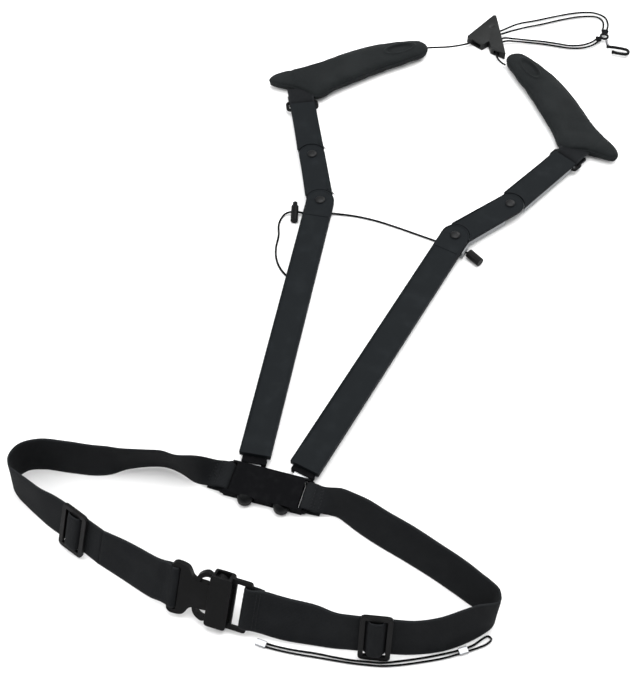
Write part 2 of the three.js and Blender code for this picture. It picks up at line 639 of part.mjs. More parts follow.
function cordLock() {
  const group = placed(LOCK_AT[0], LOCK_AT[1], LOCK_RADIUS + 0.3, LOCK_TURN);
  const body = solid(rod(LOCK_RADIUS, [0, -LOCK_LENGTH * 0.62, 0], [0, LOCK_LENGTH * 0.38, 0], 20));
  const well = solid(rod(LOCK_RADIUS - 1.3, [0, -LOCK_LENGTH * 0.62 + 1.6, 0],
    [0, LOCK_LENGTH, 0], 18));
  const bore = solid(rod(CORD_RADIUS + 0.8, [-9, 0, 0], [9, 0, 0], 12));
  add(group, 'lock_body', shapeOf(body.subtract(well).subtract(bore)), 'moulded_plastic');
  const stem = LOCK_RADIUS - 1.3 - RUN;
  const top = LOCK_LENGTH * 0.38 + 4.6;
  const plunger = solid(rod(stem, [0, -PLUNGER_LENGTH * 0.45, 0], [0, top - 1.4, 0], 16))
    .add(solid(rod(stem + 0.5, [0, top - 1.8, 0], [0, top, 0], 16)))
    .subtract(solid(block(-9, 9, -CORD_RADIUS - 0.6, CORD_RADIUS + 3.2, -CORD_RADIUS - 0.6,
      CORD_RADIUS + 0.6)));
  add(group, 'lock_plunger', shapeOf(plunger), 'moulded_plastic');
  const floor = -LOCK_LENGTH * 0.62 + 1.6 + GAP;
  const rise = -PLUNGER_LENGTH * 0.45 - GAP - floor;
  const coil = [];
  const turns = 3;
  for (let i = 0; i <= turns * 10; i += 1) {
    const angle = (2 * Math.PI * i) / 10;
    coil.push([1.25 * Math.cos(angle), floor + 0.3 + ((rise - 0.6) * i) / (turns * 10),
      1.25 * Math.sin(angle)]);
  }
  const wire = cordTube(coil, 0.25, 24);
  add(group, 'lock_spring', wire, 'steel');
}

function cordBracket(bar) {
  const edge = BAR_WIDTH / 2;
  const lugs = block(5, edge + 1.9, BRACKET_Y[0], BRACKET_Y[1], 0.35, BAR_LIFT - 0.35);
  const wall = block(edge + 0.5, edge + 1.9, BRACKET_Y[0], BRACKET_Y[1], 0.35, 8);
  const groove = block(0, edge + 0.4, BRACKET_CORD_Y - 1.9, BRACKET_CORD_Y + 1.9, -1, 9);
  const bore = rod(CORD_RADIUS + 1.1, [0, BRACKET_CORD_Y, 2.3], [30, BRACKET_CORD_Y, 2.3], 12);
  add(bar, 'cord_bracket', cut(join(lugs, wall), groove, bore), 'liner');
}

function barrelStop(bar) {
  const from = new THREE.Vector3(BAR_WIDTH / 2 + 5.4, BAR_REACH - 8, CORD_LIFT + 3.3);
  const direction = new THREE.Vector3(0.94, -0.34, 0).normalize();
  const point = (distance) => from.clone().addScaledVector(direction, distance).toArray();
  const body = solid(rod(STOP_RADIUS, point(0), point(STOP_LENGTH), 20));
  const bore = solid(rod(CORD_RADIUS + 0.7, point(-1), point(9), 12));
  add(bar, 'barrel_stop', shapeOf(body.subtract(bore)), 'moulded_plastic');
}

function cords() {
  add(assembly, 'front_cord_left', cordTube(FRONT_CORD_LEFT, CORD_RADIUS, 60), 'cord');
  add(assembly, 'front_cord_right', cordTube(FRONT_CORD_RIGHT, CORD_RADIUS, 50), 'cord');
  add(assembly, 'rear_cord_span', cordTube(REAR_CORD_SPAN, CORD_RADIUS, 32), 'cord');
  add(assembly, 'rear_cord_tail', cordTube(REAR_CORD_TAIL, CORD_RADIUS, 28), 'cord');
}

lumbarPanel();
for (const side of ['left', 'right']) {
  pivotPin(side);
  barSleeve(side);
  arm(side);
  padStrap(side);
  pad(side);
}
chevronSlider();
hookEye();
hookShank();
hookBody();
cordLock();
cords();

// ---------- belt ----------
const LEFT_BELT = [[-52.8, -12.6, 1.4, -32], [-61.3, -9.1, 0.9, -8], [-75.5, -4.3, 0.9, 6],
  [-88.8, -2.2, 0.9, 8], [-103.8, -5.4, 0.9, 8], [-122, -13.7, 0.9, 2], [-131.5, -20.8, 0.9, -8],
  [-143.5, -25.6, 0.9, -12], [-166.6, -29.4, 0.9, -14], [-188, -32.2, 0.9, -12],
  [-201, -37.4, 0.9, -6], [-206.4, -46.6, 0.9, 0], [-205, -56, 0.9, 5], [-198.6, -62.2, 0.9, 9],
  [-188, -68.2, 0.9, 12], [-174, -75.4, 1.6, 15], [-161.6, -81.5, 3.2, 20],
  [-148.6, -86.4, 4.2, 21], [-136.4, -91.1, 4.5, 21], [-124.2, -95.7, 4.2, 21],
  [-111.2, -100.7, 3, 22],
  [-90.7, -106.6, 1.8, 28], [-72, -113, 3.8, 31],
  [-63.4, -116, 5.1, 33]];
const RIGHT_BELT = [[28.2, -121.8, 7.1, 33], [49.2, -121, 4, 34], [72, -118, 2.4, 30],
  [88, -116.4, 3.4, 22], [103, -113.8, 4.2, 20], [119, -111, 4.5, 20],
  [135, -108.2, 4.2, 20], [150, -103.6, 3, 19], [168.8, -94.8, 1, 20], [185, -83.5, 0.9, 20],
  [196, -73, 0.9, 16], [202, -65, 0.9, 8], [202.6, -59.4, 0.9, 0], [198, -56.2, 0.9, -10],
  [190, -54.4, 0.9, -16], [181.7, -51.8, 0.9, -18], [166.7, -45.6, 0.9, -20],
  [144.5, -37, 0.9, -20], [121.2, -29.3, 0.9, -22], [98.2, -22.2, 0.9, -22],
  [80, -15.4, 0.9, -21], [70, -10.8, 0.9, -16], [61.3, -7.4, 1, -12], [54, -7, 1.2, -16],
  [47.6, -9.8, 1.4, -32]];

function beltPath(stations) {
  return new THREE.CatmullRomCurve3(
    stations.map(([x, y, z]) => new THREE.Vector3(x, y, z)), false, 'centripetal');
}

function beltRun(name, stations, from, to, steps) {
  add(assembly, name, strapGeometry(stations, steps, from, to), 'webbing');
}

// A group on the middle line of a belt: X along it, Y across it and Z out of its front face.
function onStrap(point, along, lean) {
  const x = new THREE.Vector3(...along).normalize();
  const y = new THREE.Vector3(-x.y, x.x, 0).multiplyScalar(Math.sin(rad(lean)));
  y.z = Math.cos(rad(lean));
  const z = new THREE.Vector3().crossVectors(x, y);
  const at = new THREE.Vector3(...point).addScaledVector(y, WEB_WIDTH / 2);
  const group = new THREE.Group();
  group.matrixAutoUpdate = false;
  group.matrix.makeBasis(x, y, z).setPosition(at);
  assembly.add(group);
  return group;
}

// ---------- webbing adjusters ----------
function triGlide(name, point, along, lean) {
  const group = onStrap(point, along, lean);
  const base = WEB_THICK / 2 + GLIDE_CLEAR;
  const half = [GLIDE_LENGTH / 2, GLIDE_WIDTH / 2];
  const frame = slab(roundedOutline(rectangle(-half[0], -half[1], half[0], half[1]), 4.5),
    base, base + GLIDE_THICK);
  const reach = half[1] - GLIDE_BAR;
  const slots = [-1, 1].map((s) => {
    const inner = GLIDE_CENTRE / 2;
    const outer = half[0] - GLIDE_BAR;
    return block(Math.min(s * inner, s * outer), Math.max(s * inner, s * outer), -reach, reach,
      base - 1, base + GLIDE_THICK + 1);
  });
  add(group, name, cut(frame, ...slots), 'moulded_plastic');
  const inner = GLIDE_CENTRE / 2 + GAP;
  const outer = inner + WEB_THICK;
  const top = base + GLIDE_THICK + GAP;
  const over = WEB_WIDTH / 2 - 0.8;
  const arch = block(-outer, outer, -over, over, base + 0.1, top + WEB_THICK);
  const hollow = block(-inner, inner, -over - 1, over + 1, 0, top);
  add(group, `${name}_web`, cut(arch, hollow), 'webbing');
}

// ---------- side-release buckle ----------
function femaleBuckle(group) {
  const half = BUCKLE_WIDTH / 2;
  const t = BUCKLE_THICK / 2;
  const shell = slab(roundedOutline(rectangle(FEMALE_MOUTH, -half, FEMALE_SLOT[0] - 3, half), 3),
    -t, t);
  const endPlate = slab(roundedOutline(rectangle(FEMALE_SLOT[0] - 8, -half, FEMALE_END - 3.6,
    half), 3), -END_THICK / 2, END_THICK / 2);
  const cavity = block(FEMALE_MOUTH - 1, FEMALE_SLOT[0] - 5, -half + BUCKLE_WALL + 0.2,
    half - BUCKLE_WALL - 0.2, -t + BUCKLE_WALL, t - BUCKLE_WALL);
  const windows = [-1, 1].map((s) => block(0.8, 12, s > 0 ? half - BUCKLE_WALL - 3 : -half - 1,
    s > 0 ? half + 1 : -half + BUCKLE_WALL + 3, -t + BUCKLE_WALL, t - BUCKLE_WALL));
  const slot = block(FEMALE_SLOT[0], FEMALE_SLOT[1], -WEB_WIDTH / 2 - 0.5, WEB_WIDTH / 2 + 0.5,
    -t, t);
  add(group, 'buckle_female', cut(join(shell, endPlate), cavity, ...windows, slot),
    'moulded_plastic');
  const loop = loopGeometry(FEMALE_SLOT[1] + 1.1, 33.8, WEB_WIDTH - 1, LOOP_CLEAR);
  add(group, 'belt_loop_female', loop, 'webbing');
}

function maleBuckle(group) {
  const half = BUCKLE_WIDTH / 2;
  const m = MALE_THICK / 2;
  const ladder = slab(roundedOutline(rectangle(MALE_END, -half, FEMALE_MOUTH - 0.6, half), 3),
    -m, m);
  const slot = block(MALE_END + FEMALE_BAR, MALE_END + FEMALE_BAR + 7, -WEB_WIDTH / 2 - 0.5,
    WEB_WIDTH / 2 + 0.5, -9, 9);
  const thin = [-1, 1].map((s) => block(MALE_END - 1, MALE_END + FEMALE_BAR + 6, -WEB_WIDTH / 2
    - 0.5, WEB_WIDTH / 2 + 0.5, s > 0 ? END_THICK / 2 : -9, s > 0 ? 9 : -END_THICK / 2));
  const wells = [-1, 1].map((s) => block(PRONG_ROOT - 1.4, FEMALE_MOUTH + 1,
    s > 0 ? PRONG_Y - PRONG_WIDTH / 2 - 3.4 : -half - 1,
    s > 0 ? half + 1 : -PRONG_Y + PRONG_WIDTH / 2 + 3.4, -9, 9));
  const guide = block(FEMALE_MOUTH - 3, 12, -3, 3, -m, m);
  add(group, 'buckle_male', cut(join(ladder, guide), slot, ...thin, ...wells),
    'moulded_plastic');
  const loop = loopGeometry(-33.8, MALE_END + FEMALE_BAR - 1.1, WEB_WIDTH - 1, LOOP_CLEAR);
  add(group, 'belt_loop_male', loop, 'webbing');
}

function prong(group, side) {
  const s = side === 'upper' ? 1 : -1;
  const inner = PRONG_Y - PRONG_WIDTH / 2;
  const outer = PRONG_Y + PRONG_WIDTH / 2;
  const tip = PRONG_ROOT + PRONG_LENGTH;
  const points = [[PRONG_ROOT, inner], [tip - 3, inner], [tip, inner + 2], [tip - 2, outer - 0.6],
    [BARB_BACK + 5, outer + BARB], [BARB_BACK, outer + BARB], [BARB_BACK - 0.6, outer],
    [PRONG_ROOT, outer]].map(([x, y]) => [x, y * s]);
  if (s < 0) points.reverse();
  add(group, `buckle_prong_${side}`, slab(outline(points), -MALE_THICK / 2, MALE_THICK / 2),
    'moulded_plastic');
}

// ---------- spare cord along the belt ----------
const SPARE_CORD = [[30, -128.2, 1.25], [40, -128.9, 1.25], [52, -128.6, 1.1], [64, -127.6, 1.1],
  [78, -126, 1.1], [92, -124.6, 1.1], [104, -123.2, 1.1], [116, -121.2, 1.1], [128, -118.7, 1.1],
  [142, -113.6, 1.1], [156, -107.4, 1.1], [170, -100.6, 1.1], [181, -94, 1.4], [188, -89.4, 1.4],
  [195, -84.6, 1.2], [201, -79.6, 1.1], [203.6, -75, 1.1], [200.4, -73.4, 1.1],
  [196, -77.6, 1.1], [191.6, -83, 1.2], [186.4, -87.2, 1.4], [179.6, -91.6, 1.4],
  [168, -98, 1.1], [154, -105, 1.1], [141, -110.8, 1.1], [127, -116.4, 1.1], [115, -118.9, 1.1],
  [103, -121, 1.1], [91, -122.2, 1.1], [77, -123.2, 1.1], [64, -124.8, 1.1], [52, -126, 1.1],
  [40, -126.3, 1.25], [30, -125.6, 1.25]];

function crimp(name, at, turn, length) {
  const group = placed(at[0], at[1], at[2], turn);
  const sleeve = slab(roundedOutline(rectangle(-2.9, -1.15, 2.9, 1.15), 1), -length / 2,
    length / 2);
  const bore = slab(roundedOutline(rectangle(-2.5, -0.95, 2.5, 0.95), 0.8), -length, length);
  const geometry = cut(sleeve, bore).rotateZ(Math.PI / 2).rotateY(Math.PI / 2);
  add(group, name, geometry, 'steel');
}

function belt() {
  beltRun('belt_left_back', LEFT_BELT, 0, LEFT_SPLIT, 20);
  beltRun('belt_left_front', LEFT_BELT, LEFT_SPLIT, 1, 18);
  beltRun('belt_right_front', RIGHT_BELT, 0, RIGHT_SPLIT, 20);
  beltRun('belt_right_back', RIGHT_BELT, RIGHT_SPLIT, 1, 18);
  triGlide('tri_glide_left', LEFT_BELT[18], [24.4, -9.3, 0], 21);
  triGlide('tri_glide_right', RIGHT_BELT[5], [32, 5.6, 0], 20);
  const buckle = onStrap(BUCKLE_AT, BUCKLE_ALONG, BUCKLE_LEAN);
  femaleBuckle(buckle);
  maleBuckle(buckle);
  prong(buckle, 'upper');
  prong(buckle, 'lower');
  const seat = PANEL_BAR - 0.9;
  for (const [name, x] of [['left', panelX[0] + seat], ['right', panelX[1] - seat]]) {
    const out = name === 'left' ? [x - LOOP_REACH, x] : [x, x + LOOP_REACH];
    const loop = loopGeometry(out[0], out[1], PANEL_HEIGHT - 5, 2).translate(0, 0, PANEL_MID);
    add(assembly, `panel_loop_${name}`, loop.translate(0, PANEL_SHIFT[1], 0), 'webbing');
  }
}

belt();
add(assembly, 'spare_cord', cordTube(SPARE_CORD, THIN_CORD_RADIUS, 64), 'cord');
crimp('crimp_left', [33.5, -127.2, 1.25], -5, 8);
crimp('crimp_right', [184.4, -90.1, 1.4], 33, 7);

export default assembly;
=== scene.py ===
# %% [markdown]
# # A saxophonist's body harness
# The harness lies open on a pale floor: a belt on its edge, a cloth-covered lumbar panel,
# two long bars, two-link arms, two padded shoulder pieces, and cords that run through a
# metal slider to the hook.  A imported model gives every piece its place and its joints, so
# this lesson only makes looks: cloth, webbing, cord, moulded plastic and metal.

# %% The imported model
import json
import math

import bmesh
import bpy
from mathutils import Matrix, Vector, noise
from mathutils.bvhtree import BVHTree


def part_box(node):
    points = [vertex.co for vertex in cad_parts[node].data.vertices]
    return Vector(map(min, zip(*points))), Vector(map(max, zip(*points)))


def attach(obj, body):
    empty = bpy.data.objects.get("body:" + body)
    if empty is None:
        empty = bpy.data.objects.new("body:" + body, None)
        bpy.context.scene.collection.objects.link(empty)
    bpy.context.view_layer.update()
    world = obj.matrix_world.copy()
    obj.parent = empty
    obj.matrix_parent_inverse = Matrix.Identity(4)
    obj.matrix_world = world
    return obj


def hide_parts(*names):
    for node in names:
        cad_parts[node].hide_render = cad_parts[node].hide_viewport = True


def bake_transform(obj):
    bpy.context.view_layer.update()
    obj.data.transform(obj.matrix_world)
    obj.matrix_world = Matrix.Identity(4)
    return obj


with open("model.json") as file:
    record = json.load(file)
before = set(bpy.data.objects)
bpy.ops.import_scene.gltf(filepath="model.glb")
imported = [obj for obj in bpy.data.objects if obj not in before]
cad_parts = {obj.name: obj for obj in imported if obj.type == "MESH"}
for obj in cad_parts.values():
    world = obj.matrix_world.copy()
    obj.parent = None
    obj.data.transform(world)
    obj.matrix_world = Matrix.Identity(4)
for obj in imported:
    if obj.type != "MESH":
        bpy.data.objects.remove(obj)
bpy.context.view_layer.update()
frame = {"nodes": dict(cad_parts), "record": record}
MM = 0.001
SIDES = ("left", "right")

# %% [markdown]
# ## The camera
# The harness is seen from its belt end, a little to the right, and from well above.
# A long lens keeps the far pads nearly as large as the near belt.

# %% The camera
TARGET = Vector((-2.1, 161.7, 0)) * MM
STAND = Vector((169.8, -437.9, 890.7)) * MM


def make_camera():
    data = bpy.data.cameras.new("camera")
    data.lens = 63.6
    data.clip_start = 0.05
    camera = bpy.data.objects.new("camera", data)
    camera.location = STAND
    camera.rotation_euler = (TARGET - STAND).to_track_quat("-Z", "Y").to_euler()
    bpy.context.scene.collection.objects.link(camera)
    bpy.context.scene.camera = camera


make_camera()
print("camera is", round((TARGET - STAND).length, 3), "m from the harness")

# %% [markdown]
# ## A small language for finishes
# A finish is a Principled shader whose colour, roughness and relief vary over the surface.
# Wiring nodes by hand is slow to read, so `Signal` wraps a socket and lets it take part in
# ordinary sums: each `+` or `*` adds one Math node.  `Finish.node` adds every other node.

# %% Signals and finishes
class Signal:
    def __init__(self, finish, socket):
        self.finish = finish
        self.socket = socket

    def math(self, operation, *values):
        sockets = dict(enumerate(values))
        return self.finish.node("ShaderNodeMath", {"operation": operation}, sockets)

    def __add__(self, other):
        return self.math("ADD", self, other)

    __radd__ = __add__

    def __sub__(self, other):
        return self.math("SUBTRACT", self, other)

    def __rsub__(self, other):
        return self.math("SUBTRACT", other, self)

    def __mul__(self, other):
        return self.math("MULTIPLY", self, other)

    def sine(self):
        return self.math("SINE", self)

    def size(self):
        return self.math("ABSOLUTE", self)

    def over(self, edge):
        return self.math("GREATER_THAN", self, edge)

    def ramp(self, low, high):
        """0 below low, 1 above high and smooth between them."""
        sockets = {"Value": self, "From Min": low, "From Max": high}
        settings = {"interpolation_type": "SMOOTHSTEP"}
        return self.finish.node("ShaderNodeMapRange", settings, sockets)


class Finish:
    def __init__(self, name, **constants):
        """constants are shader sockets by name, with _ for each space."""
        self.material = bpy.data.materials.new(name)
        self.material.use_nodes = True
        self.tree = self.material.node_tree
        self.shader = self.tree.nodes["Principled BSDF"]
        for word, value in constants.items():
            socket = word.replace("_", " ").title().replace("Ior", "IOR")
            self.shader.inputs[socket].default_value = value

    def node(self, kind, settings=None, sockets=None, out=0):
        made = self.tree.nodes.new(kind)
        for name, value in (settings or {}).items():
            setattr(made, name, value)
        for name, value in (sockets or {}).items():
            if isinstance(value, Signal):
                self.tree.links.new(value.socket, made.inputs[name])
            else:
                made.inputs[name].default_value = value
        return Signal(self, made.outputs[out])

    def feed(self, socket, signal):
        self.tree.links.new(signal.socket, self.shader.inputs[socket])

    def place(self):
        """Where a point is on the piece, in metres."""
        return self.node("ShaderNodeTexCoord", out="Object")

    def parts(self, vector):
        return [self.node("ShaderNodeSeparateXYZ", {}, {0: vector}, out) for out in range(3)]

    def laid(self):
        """Metres across and along a strip, from its own UV map."""
        return self.parts(self.node("ShaderNodeTexCoord", out="UV"))

    def noise(self, per_metre, detail=3.0, vector=None):
        sockets = {"Vector": vector or self.place(), "Scale": per_metre, "Detail": detail}
        return self.node("ShaderNodeTexNoise", {}, sockets)

    def cells(self, per_metre):
        sockets = {"Vector": self.place(), "Scale": per_metre}
        return self.node("ShaderNodeTexVoronoi", {}, sockets)

    def mix(self, amount, first, second):
        settings = {"data_type": "RGBA"}
        sockets = {0: amount, 6: self.tint(first), 7: self.tint(second)}
        return self.node("ShaderNodeMix", settings, sockets, out=2)

    def tint(self, colour):
        return colour if isinstance(colour, Signal) else (*colour, 1.0)

    def relief(self, height, distance, strength=1.0):
        sockets = {"Height": height, "Distance": distance, "Strength": strength}
        bump = self.node("ShaderNodeBump", {}, sockets)
        self.feed("Normal", bump)


print("finishes can be mixed")

# %% [markdown]
# ## Cloth finishes
# Webbing is a dense black weave: cords of warp run along the strap and each pick of weft
# crosses them, so light catches in short rows.  Two sines, one across and one along, give
# that brick pattern from the strap's own map.  The selvedge is a little shinier and paler.

# %% Webbing
def webbing_finish(name="webbing", half_width=0.019):
    made = Finish(name, sheen_weight=0.008, specular_ior_level=0.05)
    across, along, _ = made.laid()
    ends = (across * (math.pi / 0.00125)).sine()
    picks = (along * (math.pi / 0.0011) + ends.over(0.0) * math.pi * 0.5).sine()
    weave = ends.size() * 0.55 + picks.size() * 0.45
    lint = made.noise(2600.0, 2.0).ramp(0.62, 0.75)
    cloudy = made.noise(60.0, 3.0).ramp(0.35, 0.7)
    edge = across.size().ramp(half_width - 0.0022, half_width - 0.0004)
    yarn = made.mix(weave, (0.0012, 0.0014, 0.0017), (0.0118, 0.0128, 0.0142))
    faded = made.mix(cloudy * 0.35, yarn, (0.013, 0.014, 0.0152))
    worn = made.mix(edge * 0.4 + lint * 0.12, faded, (0.024, 0.026, 0.028))
    made.feed("Base Color", worn)
    made.feed("Roughness", 0.86 - edge * 0.18 - weave * 0.08)
    made.relief(weave + lint * 0.2, 0.0004, 0.7)
    return made.material


WEBBING = webbing_finish()
NARROW_WEBBING = webbing_finish("narrow_webbing", 0.013)
print(WEBBING.name, NARROW_WEBBING.name)

# %% [markdown]
# The panel and the sleeves are covered in a short brushed cloth that is almost light-proof.
# It has no weave to see, only tufts, so fine noise makes both its relief and its sheen.

# %% Brushed cloth
def brushed_cloth():
    made = Finish("brushed_cloth", sheen_weight=0.004, specular_ior_level=0.03)
    tufts = made.noise(3200.0, 4.0)
    drift = made.noise(160.0, 3.0).ramp(0.4, 0.75)
    nap = made.mix(tufts, (0.0014, 0.0014, 0.0017), (0.006, 0.0062, 0.007))
    made.feed("Base Color", made.mix(drift * 0.3, nap, (0.009, 0.0092, 0.01)))
    made.feed("Roughness", 0.93 - drift * 0.08)
    made.relief(tufts + drift * 0.4, 0.0005, 0.6)
    return made.material


BRUSHED_CLOTH = brushed_cloth()
print(BRUSHED_CLOTH.name)

# %% [markdown]
# The pads wear a smooth knit over foam: dark slate, with a very fine grain and a soft
# sheen where it turns away.  Small cells stand for the knit and slow noise for handling.

# %% Pad knit
def pad_knit():
    made = Finish("pad_knit", sheen_weight=0.015, specular_ior_level=0.07)
    stitches = made.cells(1500.0).ramp(0.1, 0.75)
    handling = made.noise(34.0, 3.0).ramp(0.35, 0.7)
    thread = made.mix(stitches, (0.0048, 0.0056, 0.006), (0.0105, 0.0122, 0.0128))
    made.feed("Base Color", made.mix(handling * 0.3, thread, (0.0155, 0.0175, 0.0183)))
    made.feed("Roughness", 0.72 + stitches * 0.12 - handling * 0.06)
    made.relief(1 - stitches, 0.0002, 0.5)
    return made.material


PAD_KNIT = pad_knit()
print(PAD_KNIT.name)

# %% [markdown]
# Cord is braided from a few plaits.  On the cord's own map the plaits climb both ways
# round it, so the product of two slanted sines gives the diamond pattern of the braid.

# %% Braided cord
def braided_cord(name, plaits, pitch):
    made = Finish(name, sheen_weight=0.008, specular_ior_level=0.06)
    turn, along, _ = made.laid()
    climb = along * (2 * math.pi / pitch)
    right = (turn * (2 * math.pi * plaits) + climb).sine()
    left = (turn * (2 * math.pi * plaits) - climb).sine()
    plait = (right * left).size()
    fleck = made.noise(900.0, 2.0).ramp(0.5, 0.7)
    yarn = made.mix(plait, (0.0022, 0.0022, 0.0026), (0.0105, 0.011, 0.0118))
    made.feed("Base Color", made.mix(fleck * 0.2, yarn, (0.03, 0.03, 0.032)))
    made.feed("Roughness", 0.8 - plait * 0.15)
    made.relief(plait, 0.0003, 0.8)
    return made.material


CORD = braided_cord("braided_cord", 4, 0.004)
THIN_CORD = braided_cord("thin_braided_cord", 3, 0.0032)
print(CORD.name, THIN_CORD.name)

# %% [markdown]
# ## Hard finishes
# The bar and link covers are matte black plastic with a fine spark-eroded grain.  The
# buckle, adjusters and rings are smoother and catch a crisper light.  Both get faint
# rubbing, because handled black plastic polishes unevenly.

# %% Moulded plastics
def moulded(name, dark, pale, dull, polished, grain, depth, shine=0.2):
    made = Finish(name, specular_ior_level=shine)
    fine = made.noise(grain, 4.0)
    rubbed = made.noise(70.0, 4.0).ramp(0.45, 0.9)
    made.feed("Base Color", made.mix(fine * 0.5 + rubbed * 0.5, dark, pale))
    made.feed("Roughness", dull + fine * 0.1 - rubbed * (dull - polished))
    made.relief(fine, depth, 0.5)
    return made.material


COVER_BLACK = moulded("cover_black", (0.0052, 0.0064, 0.0074), (0.0105, 0.0128, 0.0146),
                      0.62, 0.5, 2400.0, 0.0001, 0.06)
BUCKLE_BLACK = moulded("buckle_black", (0.0022,) * 3, (0.006, 0.0062, 0.007), 0.42, 0.3,
                       1300.0, 0.00005, 0.08)
LINER_GREY = moulded("liner_grey", (0.23, 0.24, 0.25), (0.33, 0.34, 0.35), 0.7, 0.55,
                     1800.0, 0.0001)
RIVET_BLACK = moulded("rivet_black", (0.003, 0.0034, 0.0038), (0.009, 0.0098, 0.0106),
                      0.34, 0.22, 700.0, 0.00003, 0.16)
print(COVER_BLACK.name, BUCKLE_BLACK.name, LINER_GREY.name, RIVET_BLACK.name)

# %% [markdown]
# The slider is satin metal, sanded one way and then coated dark.  Noise that is stretched
# along one axis draws the sanding lines; it drives roughness more than colour.

# %% Metals
def satin_slider():
    made = Finish("satin_slider", metallic=0.55, specular_ior_level=0.25)
    x, y, z = made.parts(made.place())
    drawn = made.node("ShaderNodeCombineXYZ", {}, {0: x * 1.0, 1: y * 0.08, 2: z})
    lines = made.noise(3800.0, 2.0, drawn)
    tone = made.noise(45.0, 3.0).ramp(0.35, 0.7)
    made.feed("Base Color", made.mix(tone * 0.6 + lines * 0.4, (0.0075, 0.0081, 0.0081),
                                     (0.0155, 0.0166, 0.0166)))
    made.feed("Roughness", 0.42 + lines * 0.16 - tone * 0.06)
    made.relief(lines, 0.00004, 0.5)
    return made.material


def plain_metal(name, dark, pale, rough):
    made = Finish(name, metallic=1.0)
    scuffs = made.noise(420.0, 5.0)
    made.feed("Base Color", made.mix(scuffs, dark, pale))
    made.feed("Roughness", rough + scuffs * 0.2)
    made.relief(scuffs, 0.00003, 0.5)
    return made.material


def bar_strip():
    """Bare aluminium, painted black on the round foot below the panel."""
    made = Finish("bar_strip", specular_ior_level=0.08)
    scuffs = made.noise(300.0, 5.0)
    foot = 1 - made.parts(made.place())[1].over(-0.009)
    metal = made.mix(scuffs, (0.36, 0.37, 0.38), (0.5, 0.51, 0.52))
    made.feed("Base Color", made.mix(foot, metal, (0.004, 0.0043, 0.0047)))
    made.feed("Metallic", 1 - foot)
    made.feed("Roughness", 0.38 + scuffs * 0.2)
    made.relief(scuffs, 0.00004, 0.5)
    return made.material


SLIDER_SATIN = satin_slider()
STEEL = plain_metal("plated_steel", (0.2, 0.205, 0.215), (0.36, 0.365, 0.38), 0.24)
SHANK_GREY = plain_metal("shank_grey", (0.2, 0.2, 0.21), (0.36, 0.36, 0.37), 0.3)
BAR_STRIP = bar_strip()
print(SLIDER_SATIN.name, STEEL.name, SHANK_GREY.name, BAR_STRIP.name)

# %% [markdown]
# ## Making and placing pieces
# Every new piece goes through `fitted`: it gets its finish, rides on a body of the model,
# and hides the plain nodes it stands for.

# %% Fitting a piece
def fitted(piece, finish, body, slot=None, nodes=()):
    piece.data.materials.clear()
    piece.data.materials.append(finish)
    if nodes:
        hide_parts(*nodes)
    if body:
        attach(piece, body)
    return piece


def linked(name, mesh, smooth=True):
    if smooth:
        mesh.shade_smooth()
    piece = bpy.data.objects.new(name, mesh)
    bpy.context.scene.collection.objects.link(piece)
    return piece


def new_piece(name, points, faces, smooth=True):
    mesh = bpy.data.meshes.new(name)
    mesh.from_pydata([tuple(p) for p in points], [], faces)
    mesh.validate()
    return linked(name, mesh, smooth)


def settle(piece):
    """Makes the piece's modifiers part of its mesh."""
    depsgraph = bpy.context.evaluated_depsgraph_get()
    final = bpy.data.meshes.new_from_object(piece.evaluated_get(depsgraph))
    piece.modifiers.clear()
    piece.data = final
    return piece


def body_of(node):
    for body, members in frame["record"]["behaviour"]["bodies"].items():
        if node in members:
            return body
    raise ValueError(node)


print("ready to fit pieces")

# %% [markdown]
# Moulded and cast parts need rounded edges, because a knife-sharp edge never catches light.
# `finished` takes the plain solid of a node, joins its triangles into quads without ever
# making a face with a hole in it, rounds every real edge with a Bevel, and smooths the
# shading only across those roundings.

# %% Rounding a plain solid
def clean_solid(node):
    """A node's solid with its flat pairs of triangles joined, as points and faces."""
    solid = bmesh.new()
    solid.from_mesh(frame["nodes"][node].data)
    bmesh.ops.remove_doubles(solid, verts=solid.verts, dist=0.00002)
    bmesh.ops.join_triangles(solid, faces=solid.faces, angle_face_threshold=math.radians(1.5),
                             angle_shape_threshold=math.pi)
    solid.verts.index_update()
    points = [v.co.copy() for v in solid.verts]
    faces = [[v.index for v in f.verts] for f in solid.faces]
    solid.free()
    return points, faces


def rounded(piece, edge, segments=3, turn=28):
    """Rounds each edge that turns by more than turn degrees, edge millimetres wide."""
    bevel = piece.modifiers.new("rounded", "BEVEL")
    bevel.width = edge * MM
    bevel.segments = segments
    bevel.angle_limit = math.radians(turn)
    weighted = piece.modifiers.new("shading", "WEIGHTED_NORMAL")
    weighted.keep_sharp = True
    return piece


def finished(node, finish, slot, edge=0.5, segments=3, turn=28):
    points, faces = clean_solid(node)
    piece = rounded(new_piece(node + "_made", points, faces), edge, segments, turn)
    piece.modifiers["rounded"].miter_outer = "MITER_ARC"
    return fitted(piece, finish, body_of(node), slot, [node])


print("a cover would start from", len(clean_solid("bar_cover_left")[0]), "corners")

# %% [markdown]
# Smooth paths run through a few chosen points.  The points are joined by a centripetal
# Catmull-Rom curve, which never loops or overshoots between uneven points.

